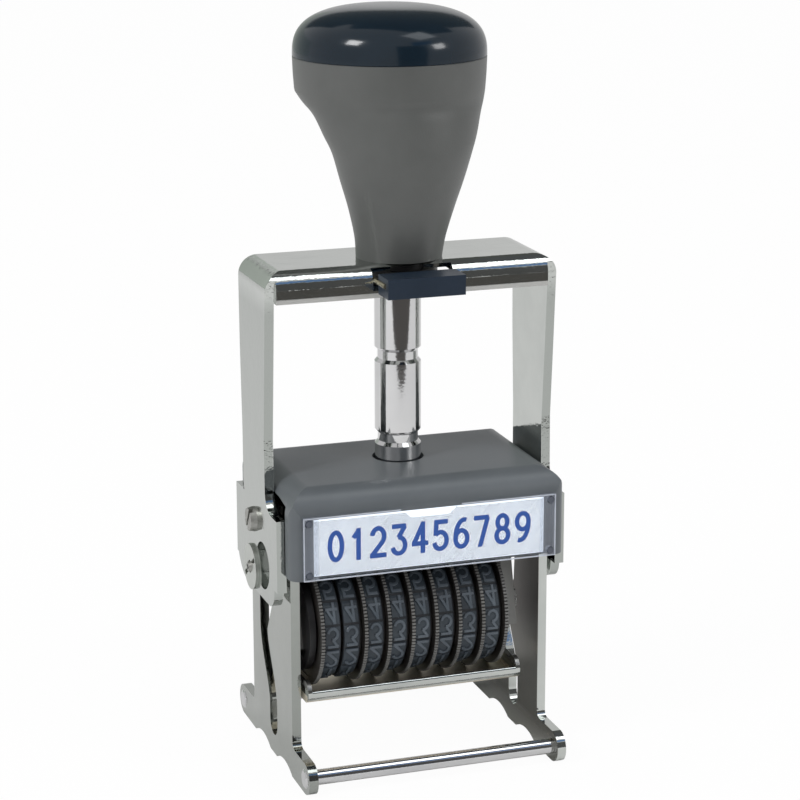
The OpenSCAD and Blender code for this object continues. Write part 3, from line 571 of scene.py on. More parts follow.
def mesh_from(name: str, points: Sequence[Sequence[float]], faces: Faces, smooth: bool = False) -> bpy.types.Mesh:
    """Make a mesh with outward normals.

    Args:
        name: Name of the mesh.
        points: Vertices in metres.
        faces: Vertex indices of each face.
        smooth: Whether faces are shaded smooth.

    Returns:
        The mesh.
    """
    mesh = bpy.data.meshes.new(name)
    mesh.from_pydata([tuple(point) for point in points], [], faces)
    shape = bmesh.new()
    shape.from_mesh(mesh)
    bmesh.ops.remove_doubles(shape, verts=shape.verts, dist=1e-7)
    bmesh.ops.recalc_face_normals(shape, faces=shape.faces)
    shape.to_mesh(mesh)
    shape.free()
    for polygon in mesh.polygons:
        polygon.use_smooth = smooth
    return mesh


def tube(faces: Faces, first: int, rows: int, ring: int, closed: bool = False) -> None:
    """Add the faces of a tube through rings of points.

    Args:
        faces: Faces so far, added to.
        first: Index of the tube's first point.
        rows: Number of rings.
        ring: Points in each ring.
        closed: Whether the last ring joins the first. An open tube gets a flat face on each end.
    """
    for row in range(rows if closed else rows - 1):
        near = first + row * ring
        far = first + (row + 1) % rows * ring
        for side in range(ring):
            after = (side + 1) % ring
            faces.append((near + side, near + after, far + after, far + side))
    if not closed:
        faces.append(tuple(first + side for side in range(ring)))
        faces.append(tuple(first + (rows - 1) * ring + side for side in reversed(range(ring))))


def lofted(name: str, rings: Sequence[Points], crease: float = 35.0) -> bpy.types.Mesh:
    """Make a closed mesh through rings of as many points each, shaded smooth between its sharp edges.

    Args:
        name: Name of the mesh.
        rings: The rings, the first and the last of which are closed with a flat face.
        crease: Angle in degrees above which an edge stays sharp.

    Returns:
        The mesh.
    """
    faces: Faces = []
    tube(faces, 0, len(rings), len(rings[0]))
    mesh = mesh_from(name, [point for ring in rings for point in ring], faces, smooth=True)
    mesh.set_sharp_from_angle(angle=math.radians(crease))
    return mesh


# ---- Digits ------------------------------------------------------------------------------------


def bow(x: float, y: float, rx: float, ry: float, start: float, end: float) -> Stroke:
    """Return an elliptic arc as points.

    Args:
        x: Centre, across.
        y: Centre, upwards.
        rx: Half width.
        ry: Half height.
        start: Angle of the first point in degrees.
        end: Angle of the last point in degrees.

    Returns:
        The points of the arc.
    """
    degrees_per_step = 13
    steps = max(6, round(abs(end - start) / degrees_per_step))
    turns = [math.radians(start + (end - start) * i / steps) for i in range(steps + 1)]
    return [(x + rx * math.cos(turn), y + ry * math.sin(turn)) for turn in turns]


def centre_lines() -> dict[str, list[Stroke]]:
    """Lay out plain digits and the signs between them in a unit square.

    Returns:
        The strokes' centre lines by character. What runs out of the square is cut off by the pen.
    """
    six = [bow(0.5, 0.3, 0.5, 0.3, 0, 360), bow(0.74, 0.33, 0.74, 0.67, 182, 76)]
    return {
        "0": [bow(0.5, 0.5, 0.5, 0.5, 0, 360)],
        "1": [[(0.62, -0.12), (0.62, 1.12)], [(0.62, 0.98), (0.18, 0.74)]],
        "2": [[*bow(0.5, 0.7, 0.5, 0.3, 172, -48), (0.0, 0.02)], [(-0.2, 0.0), (1.2, 0.0)]],
        "3": [[(-0.1, 1.0), (1.08, 1.0)], [(0.98, 0.98), (0.44, 0.58)], bow(0.47, 0.29, 0.53, 0.3, 97, -168)],
        "4": [[(0.74, -0.12), (0.74, 1.12)], [(0.72, 0.98), (0.0, 0.3)], [(-0.2, 0.28), (1.2, 0.28)]],
        "5": [[(0.14, 1.0), (1.1, 1.0)], [(0.14, 1.12), (0.07, 0.5)], bow(0.46, 0.31, 0.54, 0.31, 136, -168)],
        "6": six,
        "7": [[(-0.2, 1.0), (1.08, 1.0)], [(0.99, 1.0), (0.32, -0.12)]],
        "8": [bow(0.5, 0.755, 0.42, 0.245, 0, 360), bow(0.5, 0.26, 0.5, 0.26, 0, 360)],
        "9": [[(1.0 - x, 1.0 - y) for x, y in stroke] for stroke in six],
        "-": [[(0.1, 0.5), (0.9, 0.5)]],
        "/": [[(-0.1, -0.12), (1.1, 1.12)]],
        ".": [[(0.32, 0.0), (0.68, 0.0)]],
    }


@dataclass
class Pen:
    """Draws plain digits as raised strokes of constant width with bevelled edges."""

    height: float
    width: float
    thickness: float
    relief: float
    bevel: float
    step: float
    lift: float = 0.004 * MM
    made: dict[str, tuple[Points, Faces]] = field(default_factory=dict)

    def draw(self, character: str) -> tuple[Points, Faces]:
        """Return a character as a mesh, centred in X and Y, with its foot at height 0.

        Args:
            character: A digit or one of the signs between them.

        Returns:
            Points in metres and faces.
        """
        if character not in self.made:
            points: Points = []
            faces: Faces = []
            for level, stroke in enumerate(centre_lines()[character]):
                self._stroke(stroke, level * self.lift, points, faces)
            self.made[character] = (points, faces)
        return self.made[character]

    def _path(self, stroke: Stroke) -> list[Vector]:
        """Size a stroke and cut it into steps that are short enough to bend.

        Args:
            stroke: Its centre line in the unit square.

        Returns:
            The points of its centre line in metres.
        """
        half = self.thickness / 2
        reach = (self.width - self.thickness, self.height - self.thickness)
        corners = [Vector((half + x * reach[0], half + y * reach[1])) for x, y in stroke]
        path = [corners[0]]
        for a, b in zip(corners, corners[1:]):
            count = max(1, math.ceil((b - a).length / self.step))
            path += [a.lerp(b, i / count) for i in range(1, count + 1)]
        return path

    def _stroke(self, stroke: Stroke, lift: float, points: Points, faces: Faces) -> None:
        """Add one stroke.

        Args:
            stroke: Its centre line in the unit square.
            lift: Extra height of its face, so that crossing strokes don't share a plane.
            points: Vertices so far, added to.
            faces: Faces so far, added to.
        """
        path = self._path(stroke)
        closed = (path[0] - path[-1]).length < self.step * 0.01
        if closed:
            path = path[:-1]
        count = len(path)
        half = self.thickness / 2
        top = self.relief + lift
        profile = (
            (-half, 0.0),
            (-half, top - self.bevel),
            (-half + self.bevel, top),
            (half - self.bevel, top),
            (half, top - self.bevel),
            (half, 0.0),
        )
        tube(faces, len(points), count, len(profile), closed)
        for i, spot in enumerate(path):
            before = path[i - 1] if i or closed else spot
            after = path[(i + 1) % count] if i < count - 1 or closed else spot
            run = (after - before).normalized()
            for side, height in profile:
                x = min(max(spot.x - run.y * side, 0.0), self.width)
                y = min(max(spot.y + run.x * side, 0.0), self.height)
                points.append((x - self.width / 2, y - self.height / 2, height))


# ---- Number bands ------------------------------------------------------------------------------


@dataclass
class BandLoop:
    """The outer path of a number band round its hub and over the platen, in the (y, z) plane."""

    hub: Vector
    hub_radius: float
    front: Vector
    rear: Vector
    edge_radius: float

    def __post_init__(self) -> None:
        """Work out the stretches of the path: arcs and straight runs, from the front of the hub upwards."""
        down = math.pi / 2
        front_angle = self._tangent(self.front, 1.0)
        rear_angle = self._tangent(self.rear, -1.0)
        self.parts: list[tuple[str, tuple, float]] = []
        self._arc(self.hub, self.hub_radius, math.pi, front_angle)
        self._line(
            self._on(self.hub, self.hub_radius, front_angle), self._on(self.front, self.edge_radius, front_angle)
        )
        self._arc(self.front, self.edge_radius, front_angle, down)
        self._line(self._on(self.front, self.edge_radius, down), self._on(self.rear, self.edge_radius, down))
        self._arc(self.rear, self.edge_radius, down, rear_angle)
        self._line(
            self._on(self.rear, self.edge_radius, rear_angle), self._on(self.hub, self.hub_radius, rear_angle)
        )
        self._arc(self.hub, self.hub_radius, rear_angle, math.pi - FULL_TURN)
        self.length = sum(length for _, _, length in self.parts)

    @staticmethod
    def _on(centre: Vector, radius: float, angle: float) -> Vector:
        """Return the point of a circle at an angle."""
        return centre + radius * Vector((math.cos(angle), math.sin(angle)))

    def _tangent(self, corner: Vector, side: float) -> float:
        """Find where the band leaves the hub for a corner.

        Args:
            corner: Centre of the corner's circle.
            side: 1 at the front, -1 at the rear.

        Returns:
            The angle of the common normal of the two circles.
        """
        run = corner - self.hub
        lean = math.acos((self.hub_radius - self.edge_radius) / run.length)
        return math.atan2(run.y, run.x) + side * lean

    def _arc(self, centre: Vector, radius: float, start: float, end: float) -> None:
        """Add an arc from one angle to another."""
        self.parts.append(("arc", (centre, radius, start, end), abs(end - start) * radius))

    def _line(self, start: Vector, end: Vector) -> None:
        """Add a straight run."""
        self.parts.append(("line", (start, end), (end - start).length))

    def at(self, along: float, height: float) -> Vector:
        """Return the point at a distance along the path and a height over it.

        Args:
            along: Distance from the front of the hub, upwards, in metres.
            height: Height over the band's outer face, in metres.

        Returns:
            The point as (y, z).
        """
        along %= self.length
        index = 0
        while index < len(self.parts) - 1 and along > self.parts[index][2]:
            along -= self.parts[index][2]
            index += 1
        kind, shape, length = self.parts[index]
        share = min(along / length, 1.0)
        if kind == "arc":
            centre, radius, start, end = shape
            return self._on(centre, radius + height, start + (end - start) * share)
        start, end = shape
        run = (end - start).normalized()
        return start + (end - start) * share + height * Vector((-run.y, run.x))


@dataclass
class NumberBands:
    """Eight rubber bands, each with raised type on raised blocks."""

    shop: Workshop
    frame_nodes: dict[str, bpy.types.Object]
    characters: str = "3456789 -/. - 012"
    block_gap: float = 0.6 * MM
    block_height: float = 0.2 * MM
    block_bevel: float = 0.12 * MM
    block_root: float = 0.05 * MM
    block_steps: int = 8
    type_height: float = 0.3 * MM
    type_root: float = 0.04 * MM
    digit_height: float = 4.9 * MM
    digit_width: float = 2.9 * MM
    pen_width: float = 0.68 * MM
    pen_bevel: float = 0.1 * MM
    pen_step: float = 0.6 * MM
    edge_radius: float = 2.3 * MM
    thickness: float = 1.0 * MM
    platen_gap: float = 0.05 * MM
    side_gap: float = 0.12 * MM

    def loop(self, number: int) -> BandLoop:
        """Find a band's path from the boxes of its wheel, its band and the platen.

        Args:
            number: The band's number, from the left.

        Returns:
            The path along the band's outer face.
        """
        wheel_low, wheel_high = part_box(f"number_wheel_{number}")
        band_low, band_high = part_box(f"number_band_{number}")
        platen_low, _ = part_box("platen")
        hub = Vector(((wheel_low.y + wheel_high.y) / 2, (wheel_low.z + wheel_high.z) / 2))
        level = band_high.z - self.edge_radius
        front = Vector((platen_low.y - self.platen_gap + self.edge_radius - self.thickness, level))
        rear = Vector((band_high.y - self.edge_radius, level))
        return BandLoop(hub, hub.y - band_low.z, front, rear, self.edge_radius)

    def build(self) -> None:
        """Build the blocks and the type of every band."""
        relief = self.type_height + self.type_root
        pen = Pen(self.digit_height, self.digit_width, self.pen_width, relief, self.pen_bevel, self.pen_step)
        for number in range(1, WHEEL_COUNT + 1):
            self._band(number, pen)
            self.shop.dress(self.frame_nodes, [f"number_band_{number}"], Finish.BAND)

    def _band(self, number: int, pen: Pen) -> None:
        """Build one band's blocks and type.

        Args:
            number: The band's number, from the left.
            pen: What draws the digits.
        """
        low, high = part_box(f"number_band_{number}")
        loop = self.loop(number)
        pitch = loop.length / len(self.characters)
        middle = (low.x + high.x) / 2
        foot = self.block_height - self.type_root
        block_points: Points = []
        block_faces: Faces = []
        type_points: Points = []
        type_faces: Faces = []
        for index, character in enumerate(self.characters):
            centre = index * pitch
            half = (pitch - self.block_gap) / 2
            width = high.x - low.x - 2 * self.side_gap
            self._block(loop, (centre - half, centre + half), (middle, width), block_points, block_faces)
            if character == " ":
                continue
            points, faces = pen.draw(character)
            start = len(type_points)
            for x, y, height in points:
                spot = loop.at(centre - y, foot + height)
                type_points.append((middle + x, spot.x, spot.y))
            type_faces += [tuple(start + i for i in face) for face in faces]
        for name, points, faces, finish in (
            (f"band_blocks_{number}", block_points, block_faces, Finish.BLOCK),
            (f"band_type_{number}", type_points, type_faces, Finish.TYPE),
        ):
            self.shop.piece(name, mesh_from(name, points, faces), finish, "carriage")

    def _block(
        self,
        loop: BandLoop,
        span: tuple[float, float],
        place: tuple[float, float],
        points: Points,
        faces: Faces,
    ) -> None:
        """Add the raised block under one character.

        Args:
            loop: The band's path.
            span: Where the block starts and ends along the path.
            place: Its middle and its width in X.
            points: Vertices so far, added to.
            faces: Faces so far, added to.
        """
        middle, width = place
        shoulder = self.block_height - self.block_bevel
        profile = (
            (-width / 2, -self.block_root),
            (-width / 2, shoulder),
            (-width / 2 + self.block_bevel, self.block_height),
            (width / 2 - self.block_bevel, self.block_height),
            (width / 2, shoulder),
            (width / 2, -self.block_root),
        )
        tube(faces, len(points), self.block_steps + 1, len(profile))
        for step in range(self.block_steps + 1):
            along = span[0] + (span[1] - span[0]) * step / self.block_steps
            drop = self.block_bevel if step in (0, self.block_steps) else 0.0
            for x, height in profile:
                spot = loop.at(along, max(height - drop, -self.block_root))
                points.append((middle + x, spot.x, spot.y))


# ---- Thumbwheels -------------------------------------------------------------------------------


@dataclass
class ThumbWheels:
    """The knurled rims of the eight thumbwheels."""

    shop: Workshop
    frame_nodes: dict[str, bpy.types.Object]
    teeth: int = 116
    tooth_share: float = 0.6
    slope_share: float = 0.1
    root: float = 0.05 * MM
    crest: float = 0.32 * MM
    rim_width: float = 0.8 * MM
    side_lap: float = 0.01 * MM
    shoulder: float = 0.1 * MM

    def build(self) -> None:
        """Build the knurl of every wheel."""
        for number in range(1, WHEEL_COUNT + 1):
            low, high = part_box(f"number_wheel_{number}")
            # The rim is on the left of the first hub and on the right of all the others.
            rim_left = low.x if number == 1 else high.x - self.rim_width
            centre = Vector((rim_left + self.rim_width / 2, (low.y + high.y) / 2, (low.z + high.z) / 2))
            self._knurl(number, centre, (high.z - low.z) / 2)
            self.shop.dress(self.frame_nodes, [f"number_wheel_{number}"], Finish.WHEEL)

    def _knurl(self, number: int, centre: Vector, radius: float) -> None:
        """Build the teeth round a rim.

        Args:
            number: The wheel's number, from the left.
            centre: Centre of the rim.
            radius: Radius of the rim.
        """
        pitch = FULL_TURN / self.teeth
        half = self.rim_width / 2 + self.side_lap
        foot = radius - self.root
        crest = radius + self.crest
        profile = (
            (-half, foot),
            (-half, crest - self.shoulder),
            (-half + self.shoulder, crest),
            (half - self.shoulder, crest),
            (half, crest - self.shoulder),
            (half, foot),
        )
        flank = self.tooth_share / 2
        inner = flank - self.slope_share
        rows = ((-flank, self.shoulder), (-inner, 0.0), (inner, 0.0), (flank, self.shoulder))
        points: Points = []
        faces: Faces = []
        for tooth in range(self.teeth):
            tube(faces, len(points), len(rows), len(profile))
            for share, drop in rows:
                angle = (tooth + share) * pitch
                for x, reach in profile:
                    reach = max(reach - drop, foot)
                    points.append(
                        (centre.x + x, centre.y + reach * math.cos(angle), centre.z + reach * math.sin(angle))
                    )
        mesh = mesh_from(f"knurl_{number}", points, faces)
        self.shop.piece(f"knurl_{number}", mesh, Finish.KNURL, f"wheel_{number}")


# ---- Label -------------------------------------------------------------------------------------


@dataclass
class Label:
    """The card behind the clear cover, printed with plain digits, and a bead with a painted highlight along the
    edges of the cover.
    """

    shop: Workshop
    frame_nodes: dict[str, bpy.types.Object]
    digits: str = "0123456789"
    print_height: float = 7.6 * MM
    print_width: float = 50.5 * MM
    digit_share: float = 0.79
    pen_width: float = 1.12 * MM
    pen_step: float = 1.5 * MM
    ink: float = 0.03 * MM
    bead: float = 0.22 * MM
    bead_depth: float = 0.4 * MM
    bead_proud: float = 0.05 * MM
    bead_bevel: float = 0.07 * MM
    notch_half_width: float = 7.4 * MM

    def build(self) -> None:
        """Dress the card and its cover, print the digits and run the bead, which carries a painted highlight,
        round the cover.
        """
        self.shop.dress(self.frame_nodes, ["label_card"], Finish.CARD)
        self.shop.dress(self.frame_nodes, ["label_cover"], Finish.COVER)
        self.shop.dress(self.frame_nodes, ["cover_pegs"], Finish.PEG)
        self._print()
        self._edge_highlights()

    def _print(self) -> None:
        """Print the digits in the middle of the card."""
        low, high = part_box("label_card")
        sunk = self.ink * 0.2
        pitch = self.print_width / len(self.digits)
        lift = self.ink * 0.1
        width = pitch * self.digit_share
        pen = Pen(self.print_height, width, self.pen_width, self.ink, sunk, self.pen_step, lift)
        left = (low.x + high.x - self.print_width) / 2
        middle = (low.z + high.z) / 2
        points: Points = []
        faces: Faces = []
        for index, digit in enumerate(self.digits):
            outline, sides = pen.draw(digit)
            start = len(points)
            centre = left + (index + 0.5) * pitch
            points += [(centre + x, low.y - height + sunk, middle + y) for x, y, height in outline]
            faces += [tuple(start + i for i in side) for side in sides]
        self.shop.piece("label_print", mesh_from("label_print", points, faces), Finish.PRINT, "base")

    def _edge_highlights(self) -> None:
        """Build the fine bead along the cover's outer edges, lighter and milkier than the cover: a painted
        highlight.
        """
        low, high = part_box("label_cover")
        left = low.x + self.bead
        right = high.x - self.bead
        bars = (
            (low.x, left, low.z, high.z),
            (right, high.x, low.z, high.z),
            (left, right, low.z, low.z + self.bead),
            (left, -self.notch_half_width, high.z - self.bead, high.z),
            (self.notch_half_width, right, high.z - self.bead, high.z),
        )
        levels = ((low.y + self.bead_depth, 0.0), (low.y, 0.0), (low.y - self.bead_proud, self.bead_bevel))
        points: Points = []
        faces: Faces = []
        for x0, x1, z0, z1 in bars:
            tube(faces, len(points), len(levels), 4)
            for y, cut in levels:
                corners = ((x0 + cut, z0 + cut), (x1 - cut, z0 + cut), (x1 - cut, z1 - cut), (x0 + cut, z1 - cut))
                points += [(x, y, z) for x, z in corners]
        self.shop.piece("cover_edge_highlights", mesh_from("cover_edge_highlights", points, faces), Finish.COVER_EDGE_HIGHLIGHT, "base")


# ---- Pieces that keep their frame shapes -------------------------------------------------------


@dataclass
class KeptPieces:
    """A sub-assembly whose pieces keep their frame shapes and get a finish."""

    shop: Workshop
    frame_nodes: dict[str, bpy.types.Object]
    groups: ClassVar[dict[Finish, tuple[str, ...]]] = {}

    def build(self) -> None:
        """Give every node its finish."""
        for finish, names in self.groups.items():
            self.shop.dress(self.frame_nodes, names, finish)


@dataclass
class Metalwork(KeptPieces):
    """The plated and turned pieces of the frame, the yoke and the carriage."""

    groups: ClassVar[dict[Finish, tuple[str, ...]]] = {
        Finish.LEFT_CHROME: ("side_plate_left",),
        Finish.RIGHT_CHROME: ("side_plate_right",),
        Finish.YOKE_CHROME: ("yoke",),
        Finish.BRACKET_CHROME: ("carriage_frame",),
        Finish.DISC_CHROME: ("pivot_disc_left", "pivot_disc_right"),
        Finish.COLUMN_CHROME: ("guide_column", "front_rod", "rear_rod"),
        Finish.STEEL: (
            "bridge_plate",
            "column_nut",
            "pad_rails",
            "spring_seat",
            "right_spacer",
            "wheel_axle",
            "axle_nut",
            "platen_screws",
            "housing_screws",
        ),
        Finish.SCREW: ("leg_rivets", "pivot_screws"),
        Finish.BRASSY: ("lock_pin",),
    }


@dataclass
class Mouldings(KeptPieces):
    """The housing, the lock button, the ink pad in its tray and the plastic bearings."""

    groups: ClassVar[dict[Finish, tuple[str, ...]]] = {
        Finish.HOUSING: ("housing",),
        Finish.BUTTON: ("lock_button",),
        Finish.BLACK: ("guide_bush", "pad_tray", "end_disc", "end_spacer", "platen"),
        Finish.PALE: ("guide_shoes",),
        Finish.FOAM: ("ink_pad",),
    }


# ---- Handle and cap ----------------------------------------------------------------------------


@dataclass
class Grip:
    """The moulded handle, which flares and leans back to its head, and the domed cap on it."""

    shop: Workshop
    sides: int = 112
    steps: int = 6
    groove: float = 0.18 * MM
    seat_gap: float = 0.05 * MM
    bore_gap: float = 0.1 * MM
    bush_flange: float = 1.49 * MM
    # Height over the bar, half width and middle in Y in millimetres, then depth over width, neck to lip
    neck: tuple[tuple[float, ...], ...] = (
        (0.0, 10.0, -1.0, 1.0),
        (5.0, 10.6, -1.9, 0.98),
        (12.0, 12.4, -2.9, 0.93),
        (18.3, 14.4, -3.5, 0.88),
        (24.7, 16.3, -3.7, 0.84),
        (28.5, 17.8, -2.4, 0.84),
        (33.0, 19.4, 0.0, 0.87),
        (35.7, 21.0, 3.1, 0.93),
        (37.7, 21.9, 5.2, 1.0),
    )
    head: tuple[tuple[float, ...], ...] = ((38.3, 22.0, 5.3, 1.0), (41.7, 22.25, 5.3, 1.0))
    rim_swell: float = 0.15 * MM
    dome_power: float = 2.8
    dome_rings: int = 36
    crown: float = 0.4 * MM

    def build(self) -> None:
        """Build both pieces over their frame nodes."""
        low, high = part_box("handle")
        rings = self._bore(low.z) + self._outside(low.z, high.z)
        skin = self.shop.piece("handle_skin", lofted("handle_skin", rings), Finish.HANDLE, "yoke")
        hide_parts("handle")
        dome = self.shop.piece("cap_dome", lofted("cap_dome", self._dome()), Finish.CAP, "yoke")
        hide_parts("handle_cap")

    def _ring(self, x: float, y: float, middle: float, height: float) -> Points:
        """Return an ellipse of points.

        Args:
            x: Half width.
            y: Half depth.
            middle: Its centre in Y.
            height: Its height.

        Returns:
            The points.
        """
        turns = [FULL_TURN * i / self.sides for i in range(self.sides)]
        return [(x * math.cos(turn), middle + y * math.sin(turn), height) for turn in turns]

    def _bore(self, foot: float) -> list[Points]:
        """Shape the blind bore that clears the column, from its end down to the handle's foot.

        Args:
            foot: Height of the handle's foot.

        Returns:
            The rings.
        """
        bush_low, bush_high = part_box("guide_bush")
        seat_low, seat_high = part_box("spring_seat")
        wide = (bush_high.x - bush_low.x) / 2 - self.bush_flange
        slim = (seat_high.x - seat_low.x) / 2 + self.seat_gap
        levels = ((slim, seat_high.z + self.bore_gap), (slim, bush_high.z), (wide, bush_high.z), (wide, foot))
        return [self._ring(radius, radius, 0.0, height) for radius, height in levels]

    def _outside(self, foot: float, seam: float) -> list[Points]:
        """Shape the outer face from the foot up to the seam.

        Args:
            foot: Height of the handle's foot.
            seam: Height of the seam under the cap.

        Returns:
            The rings.
        """
        rows: list[tuple[float, ...]] = []
        last = len(self.neck) - 1
        for index in range(last):
            a, b, c, d = (self.neck[min(max(index + k, 0), last)] for k in (-1, 0, 1, 2))
            for step in range(self.steps):
                rows.append(tuple(self._between(*four, step / self.steps) for four in zip(a, b, c, d)))
        _, width, middle, _ = self.head[-1]
        top = (seam - foot) / MM
        rim = width + self.rim_swell / MM
        cut = self.groove / MM
        rows += [self.neck[last], *self.head, (top - cut, rim, middle, 1.0), (top, rim - cut, middle, 1.0)]
        return [
            self._ring(half * MM, half * depth * MM, centre * MM, foot + height * MM)
            for height, half, centre, depth in rows
        ]

    def _dome(self) -> list[Points]:
        """Shape the cap, a superellipse from the seam to the crown.

        Returns:
            The rings.
        """
        low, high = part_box("handle_cap")
        radius = (high.x - low.x) / 2
        middle = (low.y + high.y) / 2
        bend = 2 / self.dome_power
        rings = [self._ring(radius - self.groove, radius - self.groove, middle, low.z)]
        for step in range(self.dome_rings):
            turn = math.pi / 2 * step / self.dome_rings
            reach = radius * math.cos(turn) ** bend
            rise = (high.z - low.z) * math.sin(turn) ** bend
            if rise < self.groove:
                rise, reach = self.groove, radius
            rings.append(self._ring(reach, reach, middle, low.z + rise))
        rings.append(self._ring(self.crown, self.crown, middle, high.z))
        return rings

    @staticmethod
    def _between(a: float, b: float, c: float, d: float, share: float) -> float:
        """Find a value on a smooth curve through four evenly spaced ones.

        Args:
            a: First value.
            b: Second value, where the share is 0.
            c: Third value, where the share is 1.
            d: Fourth value.
            share: How far the result lies from b to c.

        Returns:
            The value.
        """
        return 0.5 * (
            2 * b
            + (c - a) * share
            + (2 * a - 5 * b + 4 * c - d) * share**2
            + (3 * b - a - 3 * c + d) * share**3
        )


# ---- Return spring -----------------------------------------------------------------------------


@dataclass
class ReturnSpring:
    """The spring in the column and the handle."""

    shop: Workshop
    wire: float = 0.9 * MM
    turns: int = 16
    steps: int = 24
    sides: int = 12
    stroke: float = 39.0 * MM
    closed_pitch: float = 1.05

    def build(self) -> None:
        """Build the spring over its frame node, held at its foot."""
        low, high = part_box("return_spring")
        spring = self.shop.piece("coil_spring", lofted("coil_spring", self._wire(low, high)), Finish.WIRE, "base")
        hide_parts("return_spring")
        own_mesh(spring)

    def _wire(self, low: Vector, high: Vector) -> list[Points]:
        """Return the rings round the wire, from the foot to the top.

        Args:
            low: Lowest corner of the spring.
            high: Highest corner of the spring.

        Returns:
            The rings.
        """
        thick = self.wire / 2
        radius = (high.x - low.x) / 2 - thick
        rise = high.z - low.z - self.wire
        rings = []
        for step in range(self.turns * self.steps + 1):
            turn = step / self.steps
            angle = FULL_TURN * turn
            middle = low.z + thick + self._height(turn, rise)
            ring = []
            for side in range(self.sides):
                around = -FULL_TURN * side / self.sides
                reach = radius + thick * math.cos(around)
                ring.append((reach * math.cos(angle), reach * math.sin(angle), middle + thick * math.sin(around)))
            rings.append(ring)
        return rings

    def _height(self, turn: float, rise: float) -> float:
        """Return the wire's height over its start. The first and the last turn lie closed.

        Args:
            turn: Turns from the start.
            rise: Height over all turns.

        Returns:
            The height.
        """
        closed = self.wire * self.closed_pitch
        if turn < 1:
            return closed * turn
        if turn > self.turns - 1:
            return rise - closed * (self.turns - turn)
        return closed + (rise - 2 * closed) * (turn - 1) / (self.turns - 2)


# ---- Studio ------------------------------------------------------------------------------------


@dataclass(frozen=True)
class Card:
    """A flat reflector or flag that only reflections see."""

    name: str
    centre: Triple
    facing: Triple
    width: float
    height: float
    colour: Triple
    strength: float = 1.0


@dataclass(frozen=True)
class Lamp:
    """A square soft lamp that looks at the object."""

    name: str
    place: Triple
    size: float
    power: float


